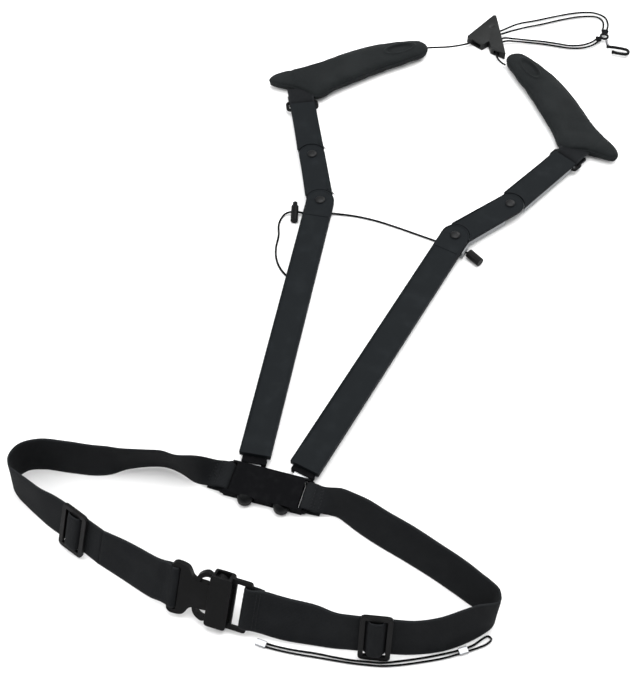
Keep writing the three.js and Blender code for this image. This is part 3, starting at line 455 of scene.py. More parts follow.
# %% Smooth paths
def between(p0, p1, p2, p3, count):
    """count points of the curve from p1 towards p2."""
    times = [0.0]
    for a, b in ((p0, p1), (p1, p2), (p2, p3)):
        times.append(times[-1] + max((b - a).length ** 0.5, 1e-6))
    t0, t1, t2, t3 = times
    for i in range(count):
        t = t1 + (t2 - t1) * i / count
        a1 = p0 * ((t1 - t) / (t1 - t0)) + p1 * ((t - t0) / (t1 - t0))
        a2 = p1 * ((t2 - t) / (t2 - t1)) + p2 * ((t - t1) / (t2 - t1))
        a3 = p2 * ((t3 - t) / (t3 - t2)) + p3 * ((t - t2) / (t3 - t2))
        b1 = a1 * ((t2 - t) / (t2 - t0)) + a2 * ((t - t0) / (t2 - t0))
        b2 = a2 * ((t3 - t) / (t3 - t1)) + a3 * ((t - t1) / (t3 - t1))
        yield b1 * ((t2 - t) / (t2 - t1)) + b2 * ((t - t1) / (t2 - t1))


def path_through(points, spans, closed=False):
    """A smooth path with a set number of steps between each point and the next."""
    knots = [Vector(p) for p in points]
    if closed:
        knots = [knots[-1], *knots, knots[0], knots[1]]
    else:
        knots = [knots[0] * 2 - knots[1], *knots, knots[-1] * 2 - knots[-2]]
    path = []
    for i, count in enumerate(spans):
        path.extend(between(*knots[i:i + 4], count))
    if not closed:
        path.append(knots[-2].copy())
    return path


def steps_between(points, step, closed=False):
    after = [*points[1:], points[0]] if closed else points[1:]
    return [max(1, round((Vector(b) - Vector(a)).length / step)) for a, b in zip(points, after)]


def smooth_path(points, step, closed=False):
    return path_through(points, steps_between(points, step, closed), closed)


def path_length(path):
    return sum((b - a).length for a, b in zip(path, path[1:]))


def in_mm(points):
    return [Vector(p) * MM for p in points]


print("a quarter of a metre takes", len(smooth_path([(0, 0, 0), (0.25, 0, 0)], 0.002)), "steps")

# %% [markdown]
# A cord or a wire is a round section carried along such a path.  The section must not spin,
# so each step turns it only as much as the path itself turns.  The map it gets has turns
# round the cord in one direction and metres along it in the other, for the braid.

# %% Round cords and wires
def map_by(piece, chart):
    """Gives every corner of the mesh the place on the map that chart(loop) returns."""
    layer = piece.data.uv_layers.new(name="UVMap")
    for loop in piece.data.loops:
        layer.data[loop.index].uv = chart(loop)


def round_wire(name, path, radius, sides=12, closed=False):
    thick = radius if callable(radius) else (lambda share: radius)
    count = len(path)
    points, chart, travelled = [], [], 0.0
    ahead = (path[1] - path[0]).normalized()
    side = ahead.orthogonal().normalized()
    for i, at in enumerate(path):
        after = path[(i + 1) % count] if closed or i < count - 1 else at
        before = path[i - 1] if closed or i else at
        tangent = (after - before).normalized()
        side = (side - tangent * side.dot(tangent)).normalized()
        up = tangent.cross(side)
        r = thick(i / max(1, count - 1))
        for k in range(sides):
            angle = 2 * math.pi * k / sides
            points.append(at + side * (r * math.cos(angle)) + up * (r * math.sin(angle)))
            chart.append((k / sides, travelled))
        if i < count - 1:
            travelled += (path[i + 1] - at).length
    faces = []
    rings = count if closed else count - 1
    for i in range(rings):
        j = (i + 1) % count
        for k in range(sides):
            m = (k + 1) % sides
            faces.append([i * sides + k, i * sides + m, j * sides + m, j * sides + k])
    if not closed:
        faces.append(list(range(sides - 1, -1, -1)))
        faces.append([(count - 1) * sides + k for k in range(sides)])
    piece = new_piece(name, points, faces)
    map_by(piece, lambda loop: chart[loop.vertex_index])
    return piece


print("wires can be drawn")

# %% [markdown]
# ## The cords
# Each front cord leaves a pad's tip, passes through the slider, turns round the hook's eye
# and comes back to the slider, so it is drawn doubled.  Its route is the solid model's own,
# except that the left one starts a little deeper in its pad's tip.

# %% Front cords
LEFT_CORD = in_mm([
    (3.6, 561.3, 5.2), (7.4, 563.2, 5), (15, 566.6, 4.4), (26, 571, 4), (38, 577, 4.2),
    (49, 584.5, 4.2), (55, 590, 4.2), (62, 598, 4.2), (70, 606, 4.2), (78, 614, 4.2), (92, 630, 3),
    (110, 642, 2.2), (130, 655, 2.2), (152, 667.5, 2.2), (170, 672.5, 2.4), (183, 668, 3),
    (188, 658, 3.6), (188.8, 649, 4), (188, 643.2, 4.2), (185.9, 641.2, 4.2),
    (184, 643.2, 4.2), (184.2, 650, 4), (182, 660, 3.4), (175, 666, 2.6), (158, 663, 2),
    (138, 652, 2), (118, 638.5, 2), (101, 627, 2.6), (88, 616, 3.8), (79.5, 608.5, 4.2),
    (74, 604.5, 4.2)])
RIGHT_CORD = in_mm([
    (91.2, 559.2, 5), (88.4, 561, 4.4), (84, 564.6, 4.2), (80.3, 570, 4.2), (78.5, 577, 4.2),
    (77, 586, 4.2), (77, 595, 4.2), (82, 601.5, 4.2), (94, 605, 3.2), (108, 608, 2.2),
    (124, 610.5, 2), (140, 611.5, 2), (154, 612, 2.2), (167, 616.5, 2.6), (176, 623.5, 3.2),
    (179.6, 628, 4), (182, 629.4, 4.2), (182.4, 626.8, 4), (178.6, 620, 3.2),
    (169, 612.4, 2.6), (155, 608, 2.2), (140, 607.2, 2), (124, 606.4, 2), (110, 604.4, 2.2),
    (97, 601.4, 3.2), (86, 598, 4.2), (80.5, 594.4, 4.2)])
CORD_RADIUS = 1.0 * MM
CORD_STEP = 1.6 * MM


def lay_cord(name, route, radius, finish, body, nodes):
    path = smooth_path(route, CORD_STEP)
    piece = round_wire(name, path, radius)
    fitted(piece, finish, body, "cord", nodes)
    length = path_length(path)
    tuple(path[0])
    print(name, round(length / MM), "mm of cord")
    return piece


left_cord = lay_cord("front_cord_left_made", LEFT_CORD, CORD_RADIUS, CORD, "",
                     ["front_cord_left"])
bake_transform(left_cord)
right_cord = lay_cord("front_cord_right_made", RIGHT_CORD, CORD_RADIUS, CORD, "",
                      ["front_cord_right"])
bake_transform(right_cord)

# %% [markdown]
# The rear cord ties the two elbows together.  It enters a barrel stop on the right bar,
# passes under both bars and comes out through the cord lock, with a short tail to pull.

# %% Rear cord and spare cord
LOW = 1.3
REAR_SPAN = in_mm([
    (-57, 300.6, LOW), (-45, 304.5, LOW), (-30, 308, LOW), (-10, 310.6, LOW),
    (11, 310.6, LOW), (32, 308.2, LOW), (55, 304.6, LOW), (74, 301.6, LOW),
    (88, 299.4, LOW), (97, 297.3, LOW), (103.4, 295.2, LOW + 0.9), (107.6, 293.2, LOW + 2.9),
    (111, 291, LOW + 3.3)])
REAR_TAIL = in_mm([
    (-57.6, 300.4, LOW), (-60.6, 299.4, LOW + 1.4), (-64, 298.4, LOW + 2.5),
    (-67, 297.6, LOW + 2.6), (-70.6, 296.6, LOW + 2.3), (-75, 294.4, LOW + 1),
    (-77.5, 289, LOW), (-77.6, 280, LOW), (-73.6, 266, LOW), (-71.4, 250, LOW),
    (-66, 236, LOW), (-58, 226, LOW), (-50, 220.4, LOW), (-42, 217, LOW)])
SPARE = in_mm([
    (30, -128.2, 1.25), (40, -128.9, 1.25), (52, -128.6, 1.1), (64, -127.6, 1.1),
    (78, -126, 1.1), (92, -124.6, 1.1), (104, -123.2, 1.1), (116, -121.2, 1.1),
    (128, -118.7, 1.1), (142, -113.6, 1.1), (156, -107.4, 1.1), (170, -100.6, 1.1),
    (181, -94, 1.4), (188, -89.4, 1.4), (195, -84.6, 1.2), (201, -79.6, 1.1),
    (203.6, -75, 1.1), (200.4, -73.4, 1.1), (196, -77.6, 1.1), (191.6, -83, 1.2),
    (186.4, -87.2, 1.4), (179.6, -91.6, 1.4), (168, -98, 1.1), (154, -105, 1.1),
    (141, -110.8, 1.1), (127, -116.4, 1.1), (115, -118.9, 1.1), (103, -121, 1.1),
    (91, -122.2, 1.1), (77, -123.2, 1.1), (64, -124.8, 1.1), (52, -126, 1.1),
    (40, -126.3, 1.25), (30, -125.6, 1.25)])
THIN_RADIUS = 0.8 * MM

lay_cord("rear_cord_span_made", REAR_SPAN, CORD_RADIUS, CORD, "bar_right",
         ["rear_cord_span"])
lay_cord("rear_cord_tail_made", REAR_TAIL, CORD_RADIUS, CORD, "bar_left",
         ["rear_cord_tail"])
lay_cord("spare_cord_made", SPARE, THIN_RADIUS, THIN_CORD, "frame", ["spare_cord"])

# %% [markdown]
# ## Straps
# A strap is a ruled strip between two edges.  Giving both edges lets it lean, twist
# and narrow as real webbing does.  Its section is a thin slab with round selvedges, and its
# map holds real metres across and along, so the weave keeps its scale through every twist.

# %% Strips of webbing
def strip(name, pairs, thick, step=2.5 * MM, columns=14):
    """pairs are (lower edge, upper edge) points in metres, in order along the strap."""
    spans = steps_between([(Vector(a) + Vector(b)) / 2 for a, b in pairs], step)
    low = path_through([p for p, _ in pairs], spans)
    high = path_through([p for _, p in pairs], spans)
    count = len(low)
    points, chart, travelled = [], [], 0.0
    for i in range(count):
        a, b = low[i], high[i]
        before = (low[max(0, i - 1)] + high[max(0, i - 1)]) / 2
        after = (low[min(count - 1, i + 1)] + high[min(count - 1, i + 1)]) / 2
        if i:
            travelled += ((a + b) / 2 - before).length
        width = (b - a).length
        across = (b - a).normalized()
        normal = (after - before).normalized().cross(across).normalized()
        for side in (1, -1):
            for k in range(columns + 1):
                share = k / columns
                u = share if side > 0 else 1 - share
                edge = min(u, 1 - u) * width
                full = thick / 2 * min(1.0, 0.35 + edge / (0.9 * thick)) ** 0.5
                points.append(a + across * (u * width) + normal * (side * full))
                chart.append(((u - 0.5) * width, travelled))
    ring = 2 * (columns + 1)
    faces = []
    for i in range(count - 1):
        for k in range(ring):
            m = (k + 1) % ring
            faces.append([i * ring + k, (i + 1) * ring + k, (i + 1) * ring + m, i * ring + m])
    faces.append(list(range(ring)))
    faces.append([(count - 1) * ring + k for k in range(ring - 1, -1, -1)])
    piece = new_piece(name, points, faces)
    map_by(piece, lambda loop: chart[loop.vertex_index])
    return piece


print("strips can be laid")

# %% [markdown]
# ## The belt
# The belt stands on its lower edge, so each station gives a point on that edge and how far
# the strap leans.  Near the panel it twists flat and narrows to go round the panel's end
# bar; at the buckle it goes round a bar as well.  Each end is folded back on itself.

# %% Belt stations
WEB_WIDTH = 38
WEB_THICK = 1.6
LEFT_BELT = [
    (-61.3, -9.1, 0.9, -8), (-75.5, -4.3, 0.9, 6), (-88.8, -2.2, 0.9, 8),
    (-103.8, -5.4, 0.9, 8), (-122, -13.7, 0.9, 2), (-131.5, -20.8, 0.9, -8),
    (-143.5, -25.6, 0.9, -12), (-166.6, -29.4, 0.9, -14), (-188, -32.2, 0.9, -12),
    (-201, -37.4, 0.9, -6), (-206.4, -46.6, 0.9, 0), (-205, -56, 0.9, 5),
    (-198.6, -62.2, 0.9, 9), (-188, -68.2, 0.9, 12), (-174, -75.4, 1.6, 15),
    (-161.6, -81.5, 3.2, 20), (-148.6, -86.4, 4.2, 21), (-136.4, -91.1, 4.5, 21),
    (-124.2, -95.7, 4.2, 21), (-111.2, -100.7, 3, 22), (-90.7, -106.6, 1.8, 28),
    (-66, -115.2, 4.6, 32), (-58.4, -117.4, 6, 33), (-52, -118.2, 6.8, 33)]
RIGHT_BELT = [
    (28.2, -121.8, 7.1, 33), (49.2, -121, 4, 34), (72, -118, 2.4, 30), (88, -116.4, 3.4, 22),
    (103, -113.8, 4.2, 20), (119, -111, 4.5, 20), (135, -108.2, 4.2, 20),
    (150, -103.6, 3, 19), (168.8, -94.8, 1, 20), (185, -83.5, 0.9, 20), (196, -73, 0.9, 16),
    (202, -65, 0.9, 8), (202.6, -59.4, 0.9, 0), (198, -56.2, 0.9, -10),
    (190, -54.4, 0.9, -16), (181.7, -51.8, 0.9, -18), (166.7, -45.6, 0.9, -20),
    (144.5, -37, 0.9, -20), (121.2, -29.3, 0.9, -22), (98.2, -22.2, 0.9, -22),
    (80, -15.4, 0.9, -21), (70, -10.8, 0.9, -16), (61.3, -7.4, 1, -12)]


def edge_pairs(stations):
    """The lower and upper edge of a belt at each of its stations."""
    pairs = []
    for i, (x, y, z, lean) in enumerate(stations):
        before = stations[max(0, i - 1)]
        after = stations[min(len(stations) - 1, i + 1)]
        along = Vector((after[0] - before[0], after[1] - before[1], 0)).normalized()
        tilt = math.radians(lean)
        across = Vector((-along.y, along.x, 0)) * math.sin(tilt)
        across.z = math.cos(tilt)
        low = Vector((x, y, z))
        pairs.append((low * MM, (low + across * WEB_WIDTH) * MM))
    return pairs


print(len(LEFT_BELT) + len(RIGHT_BELT), "belt stations")

# %% [markdown]
# Buckle, adjusters and the strap ends by them share a slanting frame: X along the strap,
# Y across it and Z out of its face.  A matrix holds that frame, so the pieces on it can be
# drawn flat and then stood up.

# %% Frames on the strap
def strap_frame(point, along, lean):
    x = Vector(along).normalized()
    y = Vector((-x.y, x.x, 0)) * math.sin(math.radians(lean))
    y.z = math.cos(math.radians(lean))
    z = x.cross(y)
    at = (Vector(point) + y * (WEB_WIDTH / 2)) * MM
    turn = Matrix((x, y, z)).transposed().to_4x4()
    return Matrix.Translation(at) @ turn


def on_frame(matrix, *point):
    return matrix @ (Vector(point) * MM)


BUCKLE = strap_frame((-11, -120.6, 7.1), (78.4, -2.4, 0), 33)
LEFT_GLIDE = strap_frame((-136.4, -91.1, 4.5), (24.4, -9.3, 0), 21)
RIGHT_GLIDE = strap_frame((119, -111, 4.5), (32, 5.6, 0), 20)


def across_frame(matrix, x, z, width=WEB_WIDTH - 1):
    """The two edge points of a strap that crosses a frame at x, z."""
    return (on_frame(matrix, x, -width / 2, z), on_frame(matrix, x, width / 2, z))


def turned_end(matrix, bar_x, out, reach, radius, back=3.0, width=WEB_WIDTH - 1):
    """A strap end: in over a bar at bar_x, round it, and back below for the sewn tail."""
    pairs = [across_frame(matrix, bar_x + out * reach, radius * 0.5, width),
             across_frame(matrix, bar_x + out * reach * 0.55, radius * 0.9, width),
             across_frame(matrix, bar_x, radius, width)]
    for angle in (60, 30, 0, -30, -60):
        turn = math.radians(angle)
        pairs.append(across_frame(matrix, bar_x - out * radius * math.cos(turn),
                                  radius * math.sin(turn), width))
    pairs.append(across_frame(matrix, bar_x, -radius, width))
    pairs.append(across_frame(matrix, bar_x + out * (reach + back) * 0.5, -radius, width))
    pairs.append(across_frame(matrix, bar_x + out * (reach + back), -radius * 0.75, width))
    return pairs


print("buckle stands at", [round(c / MM) for c in BUCKLE.translation])

# %% [markdown]
# The panel's end bars lie flat, so there the frame is the row's own, set at mid height.
# The strap is sewn narrower here, which is why it bunches as it leaves.

# %% The belt webbing
panel_low, panel_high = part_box("lumbar_panel")
loop_low, loop_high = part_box("panel_loop_left")
loop_mid = (loop_low + loop_high) / 2
LOOP_WIDTH = (loop_high.y - loop_low.y) / MM


def flat_frame(x):
    return Matrix.Translation((x, loop_mid.y, loop_mid.z))


def reversed_pairs(pairs):
    return list(reversed(pairs))


left_bar = flat_frame(panel_low.x + 3.1 * MM)
right_bar = flat_frame(panel_high.x - 3.1 * MM)
LAST_SEWN = 20
left_pairs = edge_pairs(LEFT_BELT)
right_pairs = edge_pairs(RIGHT_BELT)

left_root = reversed_pairs(turned_end(left_bar, 0, -1, 9, 3.8, 5, LOOP_WIDTH))
right_root = turned_end(right_bar, 0, 1, 9, 3.4, 5, LOOP_WIDTH)
right_buckle = reversed_pairs(turned_end(BUCKLE, 27.7, 1, 6, 2.9, 6))
left_buckle = turned_end(BUCKLE, -31.2, -1, 3, 2.9, 9)

belt_left = strip("belt_left", left_root + left_pairs[:LAST_SEWN], WEB_THICK * MM)
fitted(belt_left, WEBBING, "frame", "webbing",
       ["belt_left_back", "belt_left_front", "panel_loop_left"])
belt_right = strip("belt_right", right_buckle + right_pairs + right_root, WEB_THICK * MM)
fitted(belt_right, WEBBING, "frame", "webbing",
       ["belt_right_front", "belt_right_back", "panel_loop_right", "belt_loop_female"])
print("belt pieces", belt_left.name, belt_right.name)

# %% [markdown]
# The short lead to the plug half of the buckle starts where the belt behind it ends and goes
# round the plug's bar.  It is fixed in place and rides on no body.

# %% The lead to the plug
lead = strip("belt_left_lead", left_pairs[LAST_SEWN - 1:] + left_buckle, WEB_THICK * MM)
lead.data.materials.append(WEBBING)
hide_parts("belt_loop_male")
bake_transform(lead)

# %% [markdown]
# An adjuster lies on the strap's face; the strap comes up through one slot, over the middle
# bar, and down through the other, which leaves a short hump of webbing in view.

# %% Adjusters
GLIDE_THICK = 3.0


def glide_hump(side, matrix):
    rise = WEB_THICK + GLIDE_THICK + 0.5
    pairs = [across_frame(matrix, x, z, WEB_WIDTH - 1.6) for x, z in (
        (-7.4, 1.3), (-6.3, 2.4), (-5.3, 4.4), (-3.8, rise + 0.5), (0, rise + 0.9),
        (3.8, rise + 0.5), (5.3, 4.4), (6.3, 2.4), (7.4, 1.3))]
    hump = strip(f"glide_web_{side}", pairs, 1.4 * MM, 1.0 * MM)
    fitted(hump, WEBBING, f"glide_{side}", "webbing", [f"tri_glide_{side}_web"])


for side, matrix in (("left", LEFT_GLIDE), ("right", RIGHT_GLIDE)):
    finished(f"tri_glide_{side}", BUCKLE_BLACK, "moulded_plastic", 0.9, 4)
    glide_hump(side, matrix)
print("two adjusters")

# %% [markdown]
# The buckle is two mouldings.  The socket half is a flat box with windows at its sides; the
# plug half pushes two springy prongs into it, whose shoulders show in the windows.

# %% Flat mouldings
finished("buckle_female", BUCKLE_BLACK, "moulded_plastic", 1.0, 4)


def plate(name, outlines, thick, edge, matrix):
    """A flat moulding from closed outlines in millimetres; inner outlines are holes."""
    flat = bpy.data.curves.new(name, "CURVE")
    flat.dimensions = "2D"
    flat.fill_mode = "BOTH"
    flat.extrude = thick / 2 * MM
    for outline in outlines:
        spline = flat.splines.new("POLY")
        spline.points.add(len(outline) - 1)
        spline.use_cyclic_u = True
        for point, (x, y) in zip(spline.points, outline):
            point.co = (x * MM, y * MM, 0, 1)
    holder = bpy.data.objects.new(name + "_outline", flat)
    bpy.context.scene.collection.objects.link(holder)
    depsgraph = bpy.context.evaluated_depsgraph_get()
    mesh = bpy.data.meshes.new_from_object(holder.evaluated_get(depsgraph))
    bpy.data.objects.remove(holder)
    solid = bmesh.new()
    solid.from_mesh(mesh)
    bmesh.ops.remove_doubles(solid, verts=solid.verts, dist=0.00001)
    bmesh.ops.recalc_face_normals(solid, faces=solid.faces)
    bmesh.ops.join_triangles(solid, faces=solid.faces, angle_face_threshold=0.03,
                             angle_shape_threshold=math.pi)
    solid.transform(matrix)
    solid.to_mesh(mesh)
    solid.free()
    return rounded(linked(name, mesh), edge, turn=40)


def flowing(points, step=0.8):
    """Flat points in millimetres, joined by one smooth closed curve."""
    path = smooth_path([Vector((x, y, 0)) for x, y in points], step, closed=True)
    return [(p.x, p.y) for p in path]


def mirrored(half):
    return half + [(x, -y) for x, y in reversed(half)]


print("flat mouldings can be drawn")

# %% [markdown]
# Half of the plug's outline is enough, because the other half is its mirror image.  The
# prongs are pieces of their own, so that each one can bend inwards.

# %% Plug and prongs
PLUG_HALF = [(-34.4, 12), (-34.4, 20.4), (-31.6, 22.9), (-25.4, 22.9), (-21.4, 21.6),
             (-18.8, 18.4), (-17, 15), (-14.6, 13), (-10, 12.3), (-4, 12.1), (-1.2, 10.4),
             (0.2, 5), (2.4, 3.2), (10.6, 3)]
PLUG_SLOT = [(-30, 18.6), (-29.2, 19.4), (-27.6, 19.4), (-26.9, 18.6)]
PRONG = [(-14, 12.4), (-13, 16.8), (-9.6, 20.6), (-5.2, 22.4), (-2.6, 21.4), (0, 20.2),
         (2.6, 20.4), (4.2, 21.9), (9, 20.4), (12, 18), (11.4, 16.4), (6, 16), (0, 17.4),
         (-4.4, 18.6), (-8.2, 16.8), (-10.4, 14), (-11, 12.2)]
PLUG_THICK = 5

plug = plate("buckle_male_made", [flowing(mirrored(PLUG_HALF)), mirrored(PLUG_SLOT)],
             PLUG_THICK, 0.8, BUCKLE)
fitted(plug, BUCKLE_BLACK, "buckle_plug", "moulded_plastic", ["buckle_male"])
for side, flip in (("upper", 1), ("lower", -1)):
    outline = [(x, y * flip) for x, y in flowing(PRONG)]
    prong = plate(f"buckle_prong_{side}_made", [outline], PLUG_THICK, 0.8, BUCKLE)
    fitted(prong, BUCKLE_BLACK, f"prong_{side}", "moulded_plastic", [f"buckle_prong_{side}"])
print("plug and two prongs")

# %% [markdown]
# The socket has a patch of fine ribs for the thumb.  Ribs, and stitches later on, are many
# short wires that make one piece.

# %% Gripping ribs
def joined_wires(name, paths, radius, finish, body, slot):
    """Many short wires as one piece, such as ribs or stitches."""
    heap = bmesh.new()
    for i, path in enumerate(paths):
        wire = round_wire(f"{name}_{i}", path, radius, 6)
        heap.from_mesh(wire.data)
        bpy.data.objects.remove(wire)
    mesh = bpy.data.meshes.new(name)
    heap.to_mesh(mesh)
    heap.free()
    return fitted(linked(name, mesh), finish, body, slot)


RIB_COUNT = 24
RIB_PITCH = 1.5
FIRST_RIB = -17.6
rib_paths = []
for i in range(RIB_COUNT):
    y = FIRST_RIB + RIB_PITCH * i
    rib_paths.append([on_frame(BUCKLE, 15.9, y, 1.5), on_frame(BUCKLE, 17, y + 0.5, 1.75),
                      on_frame(BUCKLE, 18.1, y + 1, 1.5)])
joined_wires("buckle_ribs", rib_paths, 0.4 * MM, BUCKLE_BLACK, "frame", "moulded_plastic")
print("buckle rounded, with", len(rib_paths), "gripping ribs")

# %% [markdown]
# Sewn ends are held by rows of short, tight stitches that sink into the webbing.  Each
# stitch is laid on the nearest point of the strap's own surface, so the rows follow it.

# %% Stitching
THREAD = moulded("thread", (0.008, 0.0086, 0.0094), (0.02, 0.021, 0.023), 0.7, 0.6, 1500.0,
                 0.0001, 0.1)


def surface_of(piece):
    return BVHTree.FromObject(piece, bpy.context.evaluated_depsgraph_get())


def stitch_rows(name, piece, rows, body, long=2.0, gap=0.8, sink=0.1):
    """rows are (start, end) points in metres near the surface that is sewn."""
    surface = surface_of(piece)
    paths = []
    for start, end in rows:
        along = Vector(end) - Vector(start)
        count = int(along.length / ((long + gap) * MM))
        for i in range(count):
            share = (i + 0.5) / count
            half = along.normalized() * (long / 2 * MM)
            path = []
            for offset in (-1, 0, 1):
                spot, normal, _, _ = surface.find_nearest(Vector(start) + along * share
                                                          + half * offset)
                path.append(spot + normal * ((0.12 - sink * abs(offset) * 2) * MM))
            paths.append(path)
    return joined_wires(name, paths, 0.34 * MM, THREAD, body, "webbing")


def panel_rows(edge, out):
    high = loop_high.z + 2 * MM
    low_y, high_y = loop_low.y + 2.2 * MM, loop_high.y - 2.2 * MM
    return [(Vector((edge + out * off * MM, low_y, high)),
             Vector((edge + out * off * MM, high_y, high))) for off in (3.2, 6.0, 8.8)]


stitch_rows("panel_stitching_left", belt_left, panel_rows(panel_low.x, -1), "frame")
stitch_rows("panel_stitching_right", belt_right, panel_rows(panel_high.x, 1), "frame")
buckle_rows = [(on_frame(BUCKLE, x, -16.5, 6), on_frame(BUCKLE, x, 16.5, 6))
               for x in (36.5, 39)]
stitch_rows("buckle_stitching", belt_right, buckle_rows, "frame")
print("webbing sewn")

# %% [markdown]
# ## The lumbar panel
# The panel is a stiff core in brushed cloth.  Its edges are soft, so its rounding is wide.

# %% Panel and its pins
finished("lumbar_panel", BRUSHED_CLOTH, "panel_fabric", 1.3, 4)
for side in SIDES:
    finished(f"panel_pin_{side}", STEEL, "steel", 0.3)
    finished(f"bar_sleeve_{side}", BRUSHED_CLOTH, "sleeve_fabric", 0.7, 3)
print("panel is", [round(c / MM, 1) for c in panel_high - panel_low], "mm")

# %% [markdown]
# ## Bars and links
# Each cover has a narrow raised bead all round its top face.  Starting from the clean solid,
# the top faces are inset twice and their middle is lowered, which leaves the bead standing.

# %% Covers with a raised bead
def beaded(node, finish, slot, rim=1.1, dip=0.45, edge=0.45):
    points, faces = clean_solid(node)
    solid = bmesh.new()
    for point in points:
        solid.verts.new(point)
    solid.verts.ensure_lookup_table()
    for face in faces:
        solid.faces.new([solid.verts[i] for i in face])
    solid.normal_update()
    top = max(v.co.z for v in solid.verts)
    crown = [f for f in solid.faces if f.normal.z > 0.999
             and f.calc_center_median().z > top - 0.0001]
    bmesh.ops.inset_region(solid, faces=crown, thickness=rim * MM, use_even_offset=True)
    bmesh.ops.inset_region(solid, faces=crown, thickness=0.5 * MM, depth=-dip * MM,
                           use_even_offset=True)
    mesh = bpy.data.meshes.new(node + "_made")
    solid.to_mesh(mesh)
    solid.free()
    piece = rounded(linked(node + "_made", mesh), edge)
    return fitted(piece, finish, body_of(node), slot, [node])


for side in SIDES:
    beaded(f"bar_cover_{side}", COVER_BLACK, "cover_plastic")
    finished(f"bar_core_{side}", BAR_STRIP, "aluminium", 0.25, 2)
    for link in ("lower", "upper"):
        beaded(f"{link}_link_{side}_cover", COVER_BLACK, "cover_plastic", 0.9, 0.35, 0.4)
        finished(f"{link}_link_{side}_liner", LINER_GREY, "liner", 0.4, 2)
print("bars and links covered")

# %% [markdown]
# Rivets and the hook's shank are turned shapes: a profile spun about an axis.  The profile
# is given as (radius, height) pairs, and shallow steps between them shade as one surface.

# %% Turned pieces
def turned(name, profile, at, axis, finish, body, slot, nodes=(), sides=40):
    axis = Vector(axis).normalized()
    turn = Vector((0, 0, 1)).rotation_difference(axis).to_matrix().to_4x4()
    matrix = Matrix.Translation(Vector(at) * MM) @ turn
    points, faces, rows = [], [], []
    for radius, height in profile:
        if radius < 1e-6:
            rows.append([len(points)] * sides)
            points.append(matrix @ Vector((0, 0, height * MM)))
            continue
        rows.append([len(points) + k for k in range(sides)])
        for k in range(sides):
            angle = 2 * math.pi * k / sides
            spot = Vector((radius * math.cos(angle), radius * math.sin(angle), height))
            points.append(matrix @ (spot * MM))
    for low, high in zip(rows, rows[1:]):
        for k in range(sides):
            m = (k + 1) % sides
            corners = [low[k], low[m], high[m], high[k]]
            faces.append(list(dict.fromkeys(corners)))
    piece = new_piece(name, points, faces)
    piece.data.set_sharp_from_angle(angle=math.radians(35))
    return fitted(piece, finish, body, slot, nodes)


def arc(radius, height, start, stop, count, x=0.0, z=0.0):
    """Points of an ellipse's arc, as (radius, height) pairs."""
    steps = [math.radians(start + (stop - start) * i / count) for i in range(count + 1)]
    return [(x + radius * math.cos(t), z + height * math.sin(t)) for t in steps]


RIVET_PROFILE = [(0, -5.4), (2.35, -5.4), (2.35, 0.35), (4.3, 0.35), (4.7, 0.55),
                 *arc(4.7, 1.3, 8, 88, 8, 0, 0.55), (0, 1.86)]
for node in ("elbow_rivet_left", "elbow_rivet_right", "shoulder_rivet_left",
             "shoulder_rivet_right"):
    low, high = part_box(node)
    middle = (low + high) / 2 / MM
    head = high.z / MM - 1.6
    turned(node + "_made", RIVET_PROFILE, (middle.x, middle.y, head), (0, 0, 1), RIVET_BLACK,
           body_of(node), "rivet", [node])
print("four rivets")

# %% [markdown]
# ## Rings and pad straps
# Each arm ends in a rectangular ring of round wire.  The pad's strap goes round the ring's
# far bar and is sewn under the pad, so the pad can tilt on it.

# %% Rings and pad straps
SHOULDER = {"left": (-70.09, 369.58), "right": (134.05, 359.32)}
ARM_TURN = {"left": 24, "right": -28.5}
NEAR_BAR = {"left": 70.6, "right": 83.6}
RING_HEIGHT = 5.8


def arm_frame(side):
    turn = Matrix.Rotation(math.radians(ARM_TURN[side]), 4, "Z")
    return Matrix.Translation((SHOULDER[side][0] * MM, SHOULDER[side][1] * MM, 0)) @ turn


def rounded_loop(half, near, far, corner, height):
    """A rectangle with round corners, as points in millimetres."""
    points = []
    for x, y, start in ((half, far, 0), (-half, far, 90), (-half, near, 180), (half, near, 270)):
        cx = x - math.copysign(corner, x)
        cy = y - corner if y == far else y + corner
        for i in range(5):
            angle = math.radians(start + 22.5 * i)
            points.append((cx + corner * math.cos(angle), cy + corner * math.sin(angle), height))
    return points


for side in SIDES:
    matrix = arm_frame(side)
    near = NEAR_BAR[side]
    loop = [on_frame(matrix, *p) for p in rounded_loop(15.3, near, near + 10, 2.2, RING_HEIGHT)]
    ring = round_wire(f"strap_ring_{side}_made", loop, 1.7 * MM, 16, closed=True)
    fitted(ring, BUCKLE_BLACK, f"upper_link_{side}", "moulded_plastic", [f"strap_ring_{side}"])
    far = near + 10
    reach = 14
    path = [(far + reach, 1.9), (far + 5, 2.1), (far, RING_HEIGHT - 3.6)]
    for angle in (-60, -30, 0, 30, 60):
        turn = math.radians(angle)
        path.append((far - 3.7 * math.cos(turn), RING_HEIGHT + 3.7 * math.sin(turn)))
    path += [(far, RING_HEIGHT + 3.7), (far + 6, RING_HEIGHT + 3.9), (far + reach + 3, 8.6)]
    pairs = [(on_frame(matrix, -13, y, z), on_frame(matrix, 13, y, z)) for y, z in path]
    strap = strip(f"pad_strap_{side}_made", pairs, WEB_THICK * MM, 1.5 * MM)
    fitted(strap, NARROW_WEBBING, f"pad_{side}", "webbing", [f"pad_strap_{side}"])
print("rings and pad straps")

# %% [markdown]
# ## Shoulder pads
# A pad is foam in a stretched knit, so its top is crowned and its edges are full.  The
# plain outline is extruded, remeshed into even quads, and blown up a little by a cloth
# simulation, as foam fills its cover.  The oval recess and its rim are pressed in after.

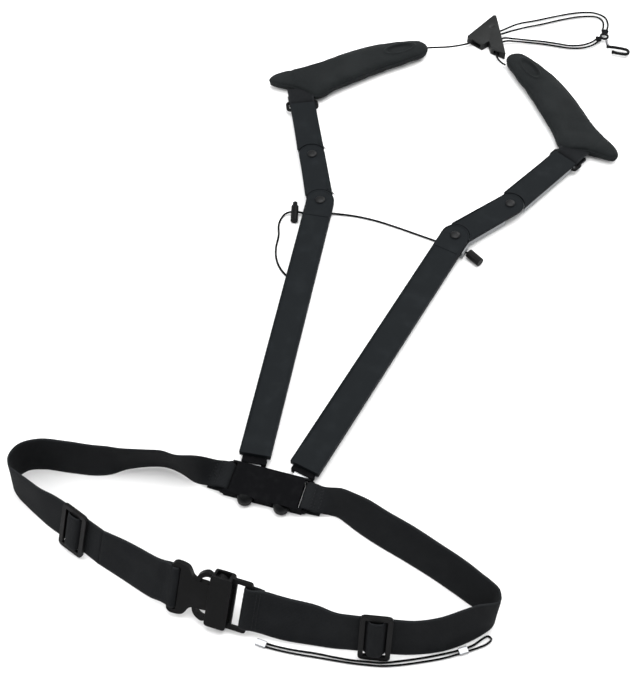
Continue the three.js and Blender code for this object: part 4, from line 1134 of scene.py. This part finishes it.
# %% Pads
PAD_AT = {"left": (-115, 468), "right": (198, 462)}
PAD_TURN = {"left": 36.2, "right": 134.4}
PAD_OUTLINE = [
    (150, 4), (147, 12), (126, 19), (92, 24), (46, 22), (15, 18.5), (-18, 17.6), (-27, 11.4),
    (-6, -9.6), (12, -28), (35, -24), (63, -19.5), (91, -15), (125, -10), (146, -5)]
PAD_MIDDLE = (60, 2)
PAD_HALF = (88, 22)
PAD_TOP = 16.0
PAD_LEVELS = [(3.4, 1.4), (1.6, 4.5), (1.6, 9.5), (4.4, 13.4)]
FLIP = {"left": 1, "right": -1}


def pad_frame(side):
    turn = Matrix.Rotation(math.radians(PAD_TURN[side]), 4, "Z")
    x, y = PAD_AT[side]
    return Matrix.Translation((x * MM, y * MM, 0)) @ turn


def pulled_in(x, y, flip, inset):
    """A point of the pad's plan, moved about inset millimetres towards the pad's middle."""
    across = PAD_MIDDLE[1] * flip
    return (PAD_MIDDLE[0] + (x - PAD_MIDDLE[0]) * (1 - inset / PAD_HALF[0]),
            across + (y - across) * (1 - inset / PAD_HALF[1]))


def pad_outline(side, inset):
    flip = FLIP[side]
    points = [Vector((*pulled_in(x, y * flip, flip, inset), 0)) for x, y in PAD_OUTLINE]
    if flip < 0:
        points.reverse()
    return smooth_path(points, 4, closed=True)


def rough_pad(side):
    """The outline in stacked rings of (inset, height), closed above and below."""
    points, faces, rows = [], [], []
    outline = pad_outline(side, 0)
    count = len(outline)
    for inset, height in PAD_LEVELS:
        rows.append(range(len(points), len(points) + count))
        points += [Vector((*pulled_in(p.x, p.y, FLIP[side], inset), height)) * MM
                   for p in outline]
    for low, high in zip(rows, rows[1:]):
        faces += [[low[k], low[(k + 1) % count], high[(k + 1) % count], high[k]]
                  for k in range(count)]
    faces += [list(reversed(rows[0])), list(rows[-1])]
    return new_piece(f"pad_cushion_{side}_made", points, faces)


print("pad outline of", len(pad_outline("left", 0)), "points")

# %% [markdown]
# The simulation presses outwards on the cover and has no gravity.  A limit on how far any
# point moves keeps the pad inside the space that the plain model gives it.

# %% Filling a pad
def remeshed(piece, cell):
    remesh = piece.modifiers.new("even", "REMESH")
    remesh.mode = "VOXEL"
    remesh.voxel_size = cell * MM
    remesh.use_smooth_shade = True
    return settle(piece)


def blown(piece, pressure, limit, frames=20):
    """Fills the cover as foam does; no point moves further than limit millimetres."""
    rest = [v.co.copy() for v in piece.data.vertices]
    cloth = piece.modifiers.new("filled", "CLOTH")
    cloth.settings.use_pressure = True
    cloth.settings.uniform_pressure_force = pressure
    cloth.settings.effector_weights.gravity = 0
    cloth.settings.quality = 6
    cloth.point_cache.frame_start = 1
    cloth.point_cache.frame_end = frames
    for step in range(1, frames + 1):
        bpy.context.scene.frame_set(step)
    settle(piece)
    bpy.context.scene.frame_set(1)
    for vertex, start in zip(piece.data.vertices, rest):
        move = vertex.co - start
        if move.length > limit * MM:
            vertex.co = start + move.normalized() * limit * MM


print("pads can be filled")

# %% [markdown]
# The recess is an oval dip with a raised rim, and the cover creases where the strap pulls
# at it.  Slow noise keeps the crown from looking machined.

# %% Pressing and creasing
RECESS_AT = (119, 5)
RECESS_HALF = (16.5, 6.6)


def pressed(x, y, side):
    """How far the recess and its rim move the pad's top at x, y, in millimetres."""
    flip = FLIP[side]
    turn = math.radians(flip * 4)
    dx, dy = x - RECESS_AT[0], y - flip * RECESS_AT[1]
    u = (dx * math.cos(turn) + dy * math.sin(turn)) / RECESS_HALF[0]
    v = (-dx * math.sin(turn) + dy * math.cos(turn)) / RECESS_HALF[1]
    reach = math.hypot(u, v)
    floor = -2.3 * max(0.0, 1 - (reach / 0.9) ** 8) if reach < 0.9 else 0.0
    rim = 1.1 * math.exp(-((reach - 1.06) / 0.11) ** 2)
    return floor + rim


def filled_out(pad, side):
    """Stretches a pad so that it just fills its outline and its height."""
    outline = pad_outline(side, 0)
    limits = [(min(p.x for p in outline), max(p.x for p in outline)),
              (min(p.y for p in outline), max(p.y for p in outline)), (0.3, PAD_TOP - 0.6)]
    for axis, (low, high) in enumerate(limits):
        now = [v.co[axis] / MM for v in pad.data.vertices]
        first, last = min(now), max(now)
        for vertex, value in zip(pad.data.vertices, now):
            share = (value - first) / (last - first)
            vertex.co[axis] = (low + share * (high - low)) * MM


def shape_pad(side):
    pad = remeshed(rough_pad(side), 3.0)
    blown(pad, 4.0, 2.6)
    smooth = pad.modifiers.new("even out", "SMOOTH")
    smooth.factor, smooth.iterations = 0.5, 4
    finer = pad.modifiers.new("finer", "SUBSURF")
    finer.levels = finer.render_levels = 1
    settle(pad)
    filled_out(pad, side)
    body = bmesh.new()
    body.from_mesh(pad.data)
    flip = FLIP[side]
    near = [f for f in body.faces if f.calc_center_median().z > 9 * MM
            and abs(f.calc_center_median().x / MM - RECESS_AT[0]) < RECESS_HALF[0] + 6
            and abs(f.calc_center_median().y / MM - flip * RECESS_AT[1]) < RECESS_HALF[1] + 6]
    edges = list({e for f in near for e in f.edges})
    bmesh.ops.subdivide_edges(body, edges=edges, cuts=2, use_grid_fill=True, smooth=0.0)
    for vertex in body.verts:
        x, y, z = vertex.co / MM
        top = max(0.0, min(1.0, (z - 8) / 4))
        lump = noise.noise(vertex.co * 22) * 0.5 + noise.noise(vertex.co * 60) * 0.12
        z += top * (pressed(x, y, side) + lump)
        crease = math.exp(-((x + 6 - flip * y * 0.3) / 2.2) ** 2)
        z -= top * crease * 0.9
        vertex.co.z = max(0.3, min(PAD_TOP + 0.6, z)) * MM
    body.to_mesh(pad.data)
    body.free()
    pad.data.transform(pad_frame(side))
    pad.data.shade_smooth()
    return pad


pads = {}
for side in SIDES:
    pads[side] = shape_pad(side)
    fitted(pads[side], PAD_KNIT, f"pad_{side}", "pad_fabric", [f"pad_cushion_{side}"])
    print("pad", side, len(pads[side].data.vertices), "points")

# %% [markdown]
# A line of piping runs round each pad where the top panel meets the side.  Its path is the
# outline, pulled on to the finished pad's own surface so that it never floats.

# %% Piping
for side in SIDES:
    matrix = pad_frame(side)
    surface = surface_of(pads[side])
    ring = pad_outline(side, -1)
    path = [surface.find_nearest(on_frame(matrix, p.x, p.y, 9.6))[0] for p in ring]
    path = smooth_path(path, 2.5 * MM, closed=True)
    piping = round_wire(f"pad_piping_{side}", path, 0.95 * MM, 8, closed=True)
    fitted(piping, PAD_KNIT, f"pad_{side}", "pad_fabric")
print("piping sewn")

# %% [markdown]
# ## Slider
# The slider is two satin metal shells with a fine line between them.  A shallow dimple is
# ground into its face, which a Boolean takes from a large ball.

# %% Slider
def dimpled(piece, at, ball, depth):
    """Takes a shallow cap of a ball out of a piece's upper face."""
    bpy.ops.mesh.primitive_uv_sphere_add(segments=64, ring_count=48, radius=ball * MM,
                                         location=(at[0] * MM, at[1] * MM,
                                                   (at[2] + ball - depth) * MM))
    cutter = bpy.context.object
    cut = piece.modifiers.new("dimple", "BOOLEAN")
    cut.operation = "DIFFERENCE"
    cut.object = cutter
    settle(piece)
    bpy.data.objects.remove(cutter)


finished("slider_back", SLIDER_SATIN, "satin_metal", 0.5)
slider_front = finished("slider_front", SLIDER_SATIN, "satin_metal", 0.9, 4)
slider_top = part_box("slider_front")[1].z / MM
dimpled(slider_front, (66, 612, slider_top), 9, 0.7)
slider_front.data.materials[0] = SLIDER_SATIN
print("slider top at", round(slider_top, 1), "mm")

# %% [markdown]
# ## Hook
# The cords meet in a ring; a grey shank swivels in it and carries a black wire hook with a
# ball tip, which keeps the hook from scratching the instrument.

# %% Eye, shank and hook
HOOK_HEIGHT = 4.2
eye_path = [Vector((187.4 + 3.9 * math.cos(a), 634.6 + 3.9 * math.sin(a), HOOK_HEIGHT)) * MM
            for a in (2 * math.pi * i / 40 for i in range(40))]
eye = round_wire("hook_eye_made", eye_path, 1.25 * MM, 14, closed=True)
fitted(eye, BUCKLE_BLACK, "frame", "moulded_plastic", ["hook_eye"])

SHANK_PROFILE = [(0, 0), (1.2, 0), (1.5, 0.3), (1.5, 2.2), (1.1, 2.6), (1.1, 3.2), (1.5, 3.6),
                 (1.5, 7.2), (1.2, 7.6), (0, 7.6)]
turned("hook_shank_made", SHANK_PROFILE, (190.8, 629, HOOK_HEIGHT), (2.4, -8, 0), SHANK_GREY,
       "frame", "steel", ["hook_shank"], 24)


def hook_route():
    bend, start = 7.0, 620.2
    points = [(192.2, 619), (196.5, 619.6), (203, 620.2), (210, 620.2)]
    tall = bend / 2 + 0.55
    for i in range(1, 7):
        angle = math.pi / 2 - math.pi * i / 6
        points.append((212 + 0.62 * bend * math.cos(angle),
                       start - tall + tall * math.sin(angle)))
    return [Vector((x, y, HOOK_HEIGHT)) * MM for x, y in [*points, (206, 611.7), (198.6, 612.1)]]


hook_path = smooth_path(hook_route(), 0.9 * MM)


def hook_thickness(share):
    """Wire that swells into a heel at the shank and a ball at the tip."""
    heel = 0.45 * math.exp(-(share / 0.035) ** 2)
    tip = 0.75 * math.exp(-((share - 1) / 0.045) ** 2)
    shoulder = min(1.0, 0.35 + min(share, 1 - share) * 55) ** 0.5
    return (1.6 + heel + tip) * shoulder * MM


hook = round_wire("hook_body_made", hook_path, hook_thickness, 18)
fitted(hook, BUCKLE_BLACK, "hook", "moulded_plastic", ["hook_body"])
print("hook wire", round(path_length(hook_path) / MM), "mm")

# %% [markdown]
# Each doubled cord is tied off at the ring with a small overhand knot.  A trefoil is that
# knot's own curve, so the same wire helper draws it from one formula.

# %% Knots
def knot(name, at, size, body):
    """An overhand knot about size millimetres across, laid almost flat."""
    x, y, z = at
    path = []
    for i in range(72):
        t = 2 * math.pi * i / 72
        reach = size * (0.30 + 0.15 * math.cos(3 * t))
        path.append(Vector((x + reach * math.cos(2 * t), y + reach * math.sin(2 * t),
                            z + size * 0.16 * math.sin(3 * t))) * MM)
    piece = round_wire(name, path, CORD_RADIUS, 10, closed=True)
    return fitted(piece, CORD, body, "cord")


knot("cord_knot_upper", (187, 642.2, 4.4), 6.4, "frame")
knot("cord_knot_lower", (181.6, 628.6, 4.4), 6.4, "frame")
print("two knots tied")

# %% [markdown]
# ## Cord lock, bracket and stop
# The lock is a small spring-loaded barrel and the stop is a plain barrel.  Both keep the
# shape of their plain solids, with only the edges rounded.

# %% Lock and stop
for node, slot, finish in (("lock_body", "moulded_plastic", BUCKLE_BLACK),
                           ("lock_plunger", "moulded_plastic", BUCKLE_BLACK),
                           ("lock_spring", "steel", STEEL),
                           ("cord_bracket", "liner", LINER_GREY),
                           ("barrel_stop", "moulded_plastic", BUCKLE_BLACK)):
    finished(node, finish, slot, 0.35 if node != "lock_spring" else 0.02, 2, turn=40)
for side in SIDES:
    finished(f"crimp_{side}", STEEL, "steel", 0.2, 2)
print("lock, bracket, stop and crimps")

# %% [markdown]
# ## Floor and light
# A pale floor that runs out of view, a large soft light overhead and a weaker one from the
# left give the even light of a work bench, with short soft shadows.

# %% Floor and light
def pale_floor():
    made = Finish("pale_floor", roughness=0.9)
    grain = made.noise(3.0, 2.0)
    made.feed("Base Color", made.mix(grain, (0.9, 0.9, 0.9), (0.93, 0.93, 0.93)))
    return made.material


def floor_plane(size=6.0):
    half = size / 2
    corners = [(-half, -half, 0), (half, -half, 0), (half, half, 0), (-half, half, 0)]
    floor = new_piece("floor", corners, [[0, 1, 2, 3]], smooth=False)
    floor.data.materials.append(pale_floor())
    floor.location.z = -0.2 * MM


def soft_light(name, place, aim, size, power):
    data = bpy.data.lights.new(name, "AREA")
    data.shape = "DISK"
    data.size = size
    data.energy = power
    light = bpy.data.objects.new(name, data)
    light.location = place
    light.rotation_euler = (Vector(aim) - Vector(place)).to_track_quat("-Z", "Y").to_euler()
    bpy.context.scene.collection.objects.link(light)


floor_plane()
CENTRE = (0.0, 0.25, 0.0)
soft_light("overhead", (0.1, 0.5, 1.6), CENTRE, 1.6, 30)
soft_light("left_fill", (-1.3, -0.3, 1.0), CENTRE, 0.9, 12)
soft_light("far_rim", (0.6, 1.7, 0.9), CENTRE, 0.9, 10)
world = bpy.data.worlds.new("studio")
world.use_nodes = True
world.node_tree.nodes["Background"].inputs["Color"].default_value = (1, 1, 1, 1)
world.node_tree.nodes["Background"].inputs["Strength"].default_value = 0.75
bpy.context.scene.world = world
bpy.context.scene.view_settings.view_transform = "Standard"
print("studio lit")

# %% [markdown]
# ## Last checks
# Any plain node that still shows after the finished looks are made is printed. The
# finished looks must fill the same space as the plain model.

# %% Plain nodes still showing
for node, piece in frame["nodes"].items():
    if not piece.hide_render:
        print("plain node still showing:", node)
